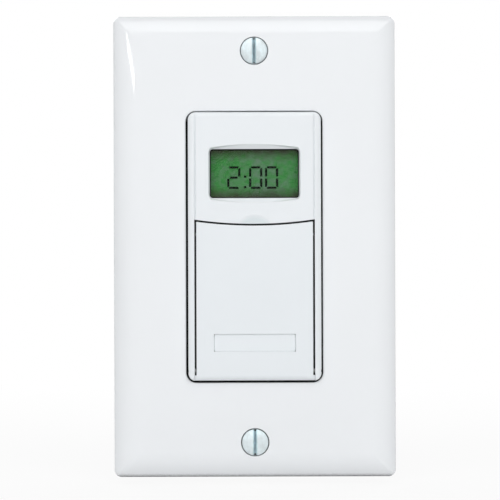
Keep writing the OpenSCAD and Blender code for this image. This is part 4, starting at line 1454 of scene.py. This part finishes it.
@dataclass
class Door(Assembly):
    """The flip-down door, also the push plate, with its foot, barrel, lips, nubs and bare name recess."""

    title = "door"
    half_w: float = 14.39
    face_z: float = 7.6
    back_z: float = 5.8
    edge_r: float = 0.18
    edge_steps: int = 5
    back_steps: int = 4
    columns: tuple[float, ...] = (2.0, 4.0, 6.0, 8.0, 9.6, 11.2, 12.6, 13.6)
    rows_above: tuple[float, ...] = (0.0, -6.0, -12.0, -18.0, -20.6)
    rows_below: tuple[float, ...] = (-27.0, -29.0, -30.4)
    rows_behind: tuple[float, ...] = (-26.0, -16.0, -6.0)
    arch_r: float = 104.45
    arch_y: float = 109.6
    hinge_y: float = -30.7
    hinge_z: float = 6.4
    barrel_r: float = 1.35
    barrel_steps: int = 22
    bore_r: float = 0.65
    bore_steps: int = 24
    foot_half: float = 14.8
    foot_y: float = -33.03
    foot_run: float = 1.3
    foot_drop: float = 0.65
    foot_back: float = 5.9
    foot_steps: int = 9
    toe: Section = ((0.06, 0.05), (0.0, -0.1))
    heel: float = 0.15
    ear_root: float = 0.5
    ear_inset: float = 0.02
    ear_edge: float = 0.06
    name_half: Flat = (10.1, 2.2)
    name_y: float = -23.75
    name_row: float = 1.0
    name_depth: float = 0.45
    name_slope: float = 0.09
    lip_w: float = 1.0
    lip_z: float = 5.0
    lip_ends: Flat = (-28.35, 2.6)
    lip_inset: float = 0.02
    lip_root: float = 0.25
    lip_edge: float = 0.15
    pad_r: float = 2.4
    pad_z: float = 5.55
    pad_y: float = -1.0
    pad_root: float = 0.2
    pad_edge: float = 0.08
    nub_r: float = 0.7
    nub_at: Point = (14.0, 3.0, 6.7)

    def stations(self) -> list[float]:
        """Places across the door where its section is drawn, closer at its edges and at the recess.

        Returns:
            Their x, from left to right.
        """
        turns = spread(0.0, math.pi / 2, self.edge_steps)
        edge = [self.half_w - self.edge_r * (1 - math.sin(a)) for a in turns]
        steps = (self.name_half[0] - self.name_slope, self.name_half[0])
        half = sorted({*self.columns, *steps, *edge})
        return [-x for x in reversed(half)] + [0.0] + half

    def shrink(self, x: float) -> float:
        """How far the section pulls in, so that the door's sides are rounded.

        Args:
            x: The place across the door.

        Returns:
            Millimetres, none away from the sides.
        """
        inside = self.half_w - abs(x)
        if inside >= self.edge_r:
            return 0.0
        return self.edge_r - math.sqrt(self.edge_r ** 2 - (self.edge_r - inside) ** 2)

    def sunk(self, x: float, y: float) -> float:
        """Depth of the name recess.

        Args:
            x: The place across the door.
            y: The height up the wall.

        Returns:
            Millimetres, none outside the recess.
        """
        rise = max(abs(x) - (self.name_half[0] - self.name_slope),
                   abs(y - self.name_y) - (self.name_half[1] - self.name_slope))
        return self.name_depth * min(1.0, max(0.0, 1 - rise / self.name_slope))

    def foot(self, inset: float) -> list[Flat]:
        """Section of the rounded foot.

        Args:
            inset: How far the section is pulled in.

        Returns:
            Height up the door and out of the wall, down its front and back along its underside.
        """
        big = arc_radius(self.foot_run, self.foot_drop)
        top, low, back = self.foot_y + self.foot_run, self.foot_y + inset, self.foot_back + inset
        turns = spread(0.0, math.asin((self.foot_run - inset) / big), self.foot_steps)
        points = [(top - big * math.sin(a), self.face_z - inset - big + big * math.cos(a)) for a in turns]
        end = points.pop()[1]
        points += [(low + up, end + out) for up, out in self.toe]
        return points + [(low, back + self.heel), (low + self.heel, back)]

    def rows(self) -> tuple[float, ...]:
        """Heights where the face is drawn.

        Returns:
            Their y, from above the name recess to below it.
        """
        high, low = self.name_y + self.name_half[1], self.name_y - self.name_half[1]
        recess = (high, high - self.name_slope, self.name_y + self.name_row, self.name_y,
                  self.name_y - self.name_row, low + self.name_slope, low)
        return self.rows_above + recess + self.rows_below

    def section(self, x: float) -> list[Flat]:
        """Section of the door.

        Args:
            x: The place across it.

        Returns:
            Height up the door and out of the wall: down its face, round foot and barrel and up its back.
        """
        s, r = self.shrink(x), self.edge_r
        top = self.arch_y - math.sqrt(self.arch_r ** 2 - x * x) - s
        face, back, barrel = self.face_z - s, self.back_z + s, self.barrel_r - s
        rising = spread(0.0, math.pi / 2, self.edge_steps)
        points = [(top - r + r * math.cos(a), face - r + r * math.sin(a)) for a in rising]
        points += [(y, face - self.sunk(x, y)) for y in self.rows()]
        points += self.foot(s)
        first = math.pi + math.asin((self.hinge_z - self.foot_back - s) / barrel)
        last = 2 * math.pi + math.asin((back - self.hinge_z) / barrel)
        points += [(self.hinge_y + barrel * math.cos(a), self.hinge_z + barrel * math.sin(a))
                   for a in spread(first, last, self.barrel_steps)]
        points += [(y, back) for y in self.rows_behind]
        falling = spread(math.pi / 2, 0.0, self.back_steps)
        return points + [(top - r + r * math.cos(a), back + r - r * math.sin(a)) for a in falling]

    def ear(self, draft: Draft, side: int) -> None:
        """Draw the end of the foot that fills the gap beside the rail.

        Args:
            draft: The door's draft.
            side: -1 for the left end, 1 for the right one.
        """
        insets = ((self.half_w - self.ear_root, self.ear_inset), (self.foot_half - self.ear_edge, 0.0),
                  (self.foot_half, self.ear_edge))
        rings = []
        for x, inset in insets:
            outline = self.foot(inset)
            outline.append((outline[0][0], outline[-1][1]))
            rings.append(draft.loop((side * x, y, z) for y, z in outline))
        draft.solid(rings)

    def shell(self, draft: Draft) -> None:
        """Draw the door's main body with the bore through its barrel.

        Args:
            draft: The door's draft.
        """
        places = self.stations()
        rings = [draft.loop((x, y, z) for y, z in self.section(x)) for x in places]
        draft.skin(rings)
        turns = circle(self.bore_r, self.bore_steps)
        bores = [draft.loop((x, self.hinge_y + c, self.hinge_z + s) for c, s in turns)
                 for x in (places[0], places[-1])]
        draft.skin(bores)
        draft.fill([rings[0], bores[0]])
        draft.fill([rings[-1], bores[1]])

    def build(self) -> list[bpy.types.Object]:
        """Make the door.

        Returns:
            The door alone.
        """
        draft = Draft()
        self.shell(draft)
        bottom, top = self.lip_ends
        inner, outer = self.half_w - self.lip_w + self.lip_inset, self.half_w - self.lip_inset
        for side in SIDES:
            self.ear(draft, side)
            left, right = sorted((side * inner, side * outer))
            draft.box((left, bottom, self.lip_z), (right, top, self.back_z + self.lip_root), self.lip_edge)
            draft.ball(self.nub_r, (side * self.nub_at[0], self.nub_at[1], self.nub_at[2]))
        pad = ((self.pad_r, self.back_z + self.pad_root), (self.pad_r, self.pad_z + self.pad_edge),
               (self.pad_r - self.pad_edge, self.pad_z))
        draft.turned(pad, (0.0, self.pad_y))
        return [place(draft.finish("door_panel"), DOOR, Body.DOOR, "door_plastic", "door")]

    def finishes(self) -> dict[str, Finish]:
        """The finish of each CAD node that stays."""
        return {"hinge_pin": PIN_IN_SHADE}


@dataclass
class FrontInsert(Assembly):
    """The bezel with its keys, and the signs printed on them."""

    title = "front insert"
    key_xs: Flat = (-8.6, 8.6)
    key_y: float = -11.5
    key_top: float = 5.2
    dish_r: float = 1.7
    dish: float = 0.2
    ink: float = 0.03
    bite: float = 0.02
    bar_half: Flat = (1.15, 0.24)
    bar_steps: int = 8
    ring_r: Flat = (1.3, 1.0)
    ring_steps: int = 40
    hand_w: float = 0.26
    hands: Flat = (0.72, 0.62)
    seam: float = 0.01

    def sink(self, x: float, y: float) -> float:
        """Height of a key's dished top at a place from its middle."""
        ball = arc_radius(self.dish_r, self.dish)
        return self.key_top - self.dish + ball - math.sqrt(ball * ball - x * x - y * y)

    def patch(self, draft: Draft, low: Flat, high: Flat, x: float) -> None:
        """Print a bar that follows a key's dish.

        Args:
            draft: The sign's draft.
            low: The bar's lower left corner from the key's middle.
            high: Its upper right corner.
            x: Where the key stands.
        """
        across = spread(low[0], high[0], self.bar_steps)
        edge = [(a, low[1]) for a in across] + [(a, high[1]) for a in reversed(across)]
        rings = [draft.loop((x + a, self.key_y + b, self.sink(a, b) + lift) for a, b in edge)
                 for lift in (-self.bite, self.ink)]
        draft.skin(rings)
        last = len(edge) - 1
        for ring in rings:
            for i in range(self.bar_steps):
                draft.bm.faces.new((ring[i], ring[i + 1], ring[last - 1 - i], ring[last - i]))

    def clock_face(self, draft: Draft) -> None:
        """Print the clock's ring and its two hands.

        Args:
            draft: The sign's draft.
        """
        outer, inner = self.ring_r
        edges = ((outer, -self.bite), (outer, self.ink), (inner, self.ink), (inner, -self.bite))
        rings = []
        for r, lift in edges:
            turns = circle(r, self.ring_steps)
            rings.append(draft.loop((x, self.key_y + y, self.sink(x, y) + lift) for x, y in turns))
        draft.skin(rings + rings[:1])
        w = self.hand_w / 2
        self.patch(draft, (-w, -w), (w, inner * self.hands[0]), 0.0)
        self.patch(draft, (w + self.seam, -w), (inner * self.hands[1], w), 0.0)

    def build(self) -> list[bpy.types.Object]:
        """Make the minus, plus and clock signs.

        Returns:
            The three signs.
        """
        long, thin = self.bar_half
        left, right = self.key_xs
        minus, plus, clock = Draft(), Draft(), Draft()
        self.patch(minus, (-long, -thin), (long, thin), left)
        self.patch(plus, (-long, -thin), (long, thin), right)
        self.patch(plus, (-thin, thin + self.seam), (thin, long), right)
        self.patch(plus, (-thin, -long), (thin, -thin - self.seam), right)
        self.clock_face(clock)
        signs = ((minus, "minus_sign", Body.MINUS), (plus, "plus_sign", Body.PLUS),
                 (clock, "clock_sign", Body.SET))
        return [place(draft.finish(name), INK, body, "plunger_plastic") for draft, name, body in signs]

    def finishes(self) -> dict[str, Finish]:
        """The finish of each CAD node that stays.

        Returns:
            Finishes by the nodes' names.
        """
        stems = {f"{key}_stem": STEM for key in ("on_off", "set", "minus", "plus", "reset")}
        return {"bezel": BEZEL, "on_off_plunger": PLUNGER, "set_key": KEY, "minus_key": KEY, "plus_key": KEY,
                "reset_key": RESET, "switch_bodies": SWITCH, **stems}


@dataclass
class ReturnSprings(Assembly):
    """The two coil springs that push the plunger out."""

    title = "return springs"
    xs: Flat = (-5.54, 5.54)
    y: float = -1.0
    coil_r: float = 1.3
    wire_r: float = 0.18
    ends_z: Flat = (-2.12, 1.72)
    turns: float = 5.0
    closed: float = 0.75
    seat_z: float = -2.4
    travel: float = 0.55
    steps: int = 120
    sides: int = 10

    def height(self, turn: float) -> float:
        """Height of the wire's middle along the coil, whose end turns lie close.

        Args:
            turn: Turns from the seated end.

        Returns:
            Millimetres off the wall.
        """
        low, high = self.ends_z
        close = 2 * self.wire_r
        rise = (high - low - 2 * close * self.closed) / (self.turns - 2 * self.closed)
        open_turns = min(max(turn - self.closed, 0.0), self.turns - 2 * self.closed)
        return low + close * (turn - open_turns) + rise * open_turns

    def coil(self, draft: Draft, x: float) -> None:
        """Wind one spring.

        Args:
            draft: The springs' draft.
            x: Where its axis stands.
        """
        rings = []
        for turn in spread(0.0, self.turns, self.steps):
            a, z = 2 * math.pi * turn, self.height(turn)
            wire = [(self.coil_r + u, z + v) for u, v in circle(self.wire_r, self.sides)]
            rings.append(draft.loop((x + r * math.cos(a), self.y + r * math.sin(a), h) for r, h in wire))
        draft.solid(rings)

    def build(self) -> list[bpy.types.Object]:
        """Make both springs, seated on the control board.

        Returns:
            Both springs as one piece.
        """
        draft = Draft()
        for x in self.xs:
            self.coil(draft, x)
        springs = place(draft.finish("return_springs"), SPRING, Body.FRAME, "zinc_steel", "plunger_springs")
        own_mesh(springs)
        return [springs]


class Boards(Assembly):
    """Both circuit boards and the parts soldered to them, all as packed."""

    title = "boards"

    def finishes(self) -> dict[str, Finish]:
        """The finish of each CAD node that stays.

        Returns:
            Finishes by the nodes' names.
        """
        return {"control_board": BOARD, "microcontroller": EPOXY, "clock_crystal": CAN, "board_screws": ZINC,
                "board_socket": SWITCH, "board_header": GOLD, "power_board": BOARD, "relay": RELAY,
                "film_capacitor": FILM, "smoothing_capacitor": SLEEVE, "varistor": VARISTOR,
                "rectifier": EPOXY, "fuse_resistor": RESISTOR, "power_board_screws": ZINC}


class RearCase(Assembly):
    """The rear case with its terminals and the screws that hold it, all as packed."""

    title = "rear case"

    def finishes(self) -> dict[str, Finish]:
        """The finish of each CAD node that stays.

        Returns:
            Finishes by the nodes' names.
        """
        return {"rear_case": CASE, "case_screws": ZINC, "terminal_plates": BRASS, "line_screws": BRIGHT_BRASS,
                "neutral_screws": NICKEL}


# Studio


@dataclass
class Softbox:
    """One soft lamp, aimed at the object's middle. Its sizes are metres and degrees."""

    name: str
    turn: float
    rise: float
    far: float
    width: float
    height: float
    watts: float
    shows: bool = False
    tilt: float = 0.0

    def make(self) -> None:
        """Hang the lamp."""
        lamp = bpy.data.lights.new(self.name, "AREA")
        lamp.shape = "RECTANGLE"
        lamp.size = self.width
        lamp.size_y = self.height
        lamp.energy = self.watts
        obj = bpy.data.objects.new(self.name, lamp)
        bpy.context.scene.collection.objects.link(obj)
        a, b = math.radians(self.turn), math.radians(self.rise)
        away = Vector((math.sin(a) * math.cos(b), -math.cos(a) * math.cos(b), math.sin(b)))
        obj.location = away * self.far
        aim = away.to_track_quat("Z", "Y") @ Quaternion((0.0, 0.0, 1.0), math.radians(self.tilt))
        obj.rotation_euler = aim.to_euler()
        obj.visible_camera = False
        obj.visible_glossy = self.shows


@dataclass
class Studio:
    """Floor, lamps, white surround and the photograph's camera.

    The floor's half width and fade and the camera's distance are metres.
    """

    floor_z: float = -58.7
    floor_half: float = 3.0
    floor_white: float = 0.9
    floor_fade: Flat = (0.1, 0.4)
    floor_cloud: float = 400.0
    floor_tones: Flat = (0.78, 0.82)
    ambient: float = 0.05
    camera_far: float = 0.5556
    lens: float = 160.2
    sensor: float = 36.0
    aim: Flat = (-1.14, -0.86)
    roll: float = 0.18
    lamps: tuple[Softbox, ...] = (
        Softbox("left_softbox", turn=-29.0, rise=18.0, far=2.2, width=1.0, height=1.2, watts=14.9),
        Softbox("right_softbox", turn=29.0, rise=18.0, far=2.2, width=1.0, height=1.2, watts=16.7),
        Softbox("top_softbox", turn=0.0, rise=52.0, far=1.2, width=0.7, height=0.8, watts=3.4, shows=True),
        Softbox("left_strip", turn=-26.6, rise=8.1, far=1.1, width=0.418, height=0.012, watts=0.24,
                shows=True, tilt=-6.5),
        Softbox("rear_left_softbox", turn=-150.0, rise=32.0, far=1.2, width=0.6, height=0.6, watts=6.0,
                shows=True),
        Softbox("rear_right_softbox", turn=150.0, rise=32.0, far=1.2, width=0.6, height=0.6, watts=6.0,
                shows=True),
    )

    def seen(self, nodes: NodeTree) -> Socket:
        """Tell what the eye sees from what only gives light.

        Args:
            nodes: The tree to add to.

        Returns:
            One where a ray comes straight from the camera or by way of gloss or glass, and else zero.
        """
        rays = nodes.add("ShaderNodeLightPath").outputs
        direct = nodes.sum(Rule.MAXIMUM, rays["Is Camera Ray"], rays["Is Glossy Ray"])
        return nodes.sum(Rule.MAXIMUM, direct, rays["Is Transmission Ray"])

    def surround(self) -> None:
        """White all round to the eye, and a low even light on the object."""
        world = bpy.data.worlds.new("surround")
        bpy.context.scene.world = world
        world.use_nodes = True
        nodes = NodeTree(world.node_tree)
        low = nodes.add("ShaderNodeBackground", {"Color": WHITE, "Strength": self.ambient}).outputs[0]
        white = nodes.add("ShaderNodeBackground", {"Color": WHITE, "Strength": 1.0}).outputs[0]
        both = nodes.add("ShaderNodeMixShader", {0: self.seen(nodes), 1: low, 2: white}).outputs[0]
        nodes.add("ShaderNodeOutputWorld", {"Surface": both})

    def floor(self) -> None:
        """A pale floor that is white to the eye and keeps the object's shadow."""
        draft = Draft()
        half, z = self.floor_half, self.floor_z * MM
        corners = ((-1, -1), (1, -1), (1, 1), (-1, 1))
        draft.cap([draft.bm.verts.new((x * half, y * half, z)) for x, y in corners])
        obj = draft.finish("floor")
        shader = Shader("pale_floor")
        cloud = shader.span(shader.noise(self.floor_cloud, detail=2.0), low=0.0, high=1.0)
        dark, light = ((tone, tone, tone, 1.0) for tone in self.floor_tones)
        matt = shader.add("ShaderNodeBsdfDiffuse", {"Color": shader.mix(cloud, dark, light)}).outputs[0]
        white = shader.add("ShaderNodeEmission", {"Color": WHITE, "Strength": 1.0}).outputs[0]
        away = shader.add("ShaderNodeVectorMath", {0: shader.place}, operation="LENGTH").outputs["Value"]
        fade = shader.span(away, self.floor_white, 1.0, *self.floor_fade)
        share = shader.sum(Rule.MULTIPLY, self.seen(shader), fade)
        both = shader.add("ShaderNodeMixShader", {0: share, 1: matt, 2: white})
        obj.data.materials.append(shader.end(both))

    def camera(self) -> None:
        """The photograph's camera, straight in front and a touch rolled."""
        data = bpy.data.cameras.new("camera")
        data.lens = self.lens
        data.sensor_width = self.sensor
        data.sensor_fit = "HORIZONTAL"
        obj = bpy.data.objects.new("camera", data)
        bpy.context.scene.collection.objects.link(obj)
        obj.location = (self.aim[0] * MM, -self.camera_far, self.aim[1] * MM)
        obj.rotation_euler = (math.pi / 2, math.radians(self.roll), 0.0)
        bpy.context.scene.camera = obj

    def make(self) -> None:
        """Set the whole studio up."""
        self.surround()
        self.floor()
        for lamp in self.lamps:
            lamp.make()
        self.camera()
        bpy.context.scene.view_settings.view_transform = "Standard"


def main() -> None:
    """Build the sub-assemblies in order, then the studio round them."""
    logging.basicConfig(level=logging.INFO, format="%(message)s")
    plate = WallPlate()
    plate_screws = MachineScrews(
        title="plate screws", name="plate_screw_pair", node="plate_screws", y=plate.screw_y,
        head=oval_head(radius=3.26, rim_z=plate.depth, rise=0.8, neck=1.75, cone=1.783),
        slot_floor=5.0, thread_from=2.6, tip_z=-5.4)
    box_screws = MachineScrews(
        title="box screws", name="box_screw_pair", node="box_screws", y=41.67,
        head=pan_head(radius=3.3, under=1.4, height=1.6, neck=1.5, neck_z=-1.3),
        slot_floor=2.2, thread_from=-1.4, tip_z=-21.4)
    for assembly in (plate, plate_screws, MountingStrap(), box_screws, FrontInsert(), ReturnSprings(),
                     Display(), Door(), Boards(), RearCase()):
        for piece in assembly.make():
            log.info("%s: %s", assembly.title, piece)
    Studio().make()


if __name__ == "__main__":
    main()
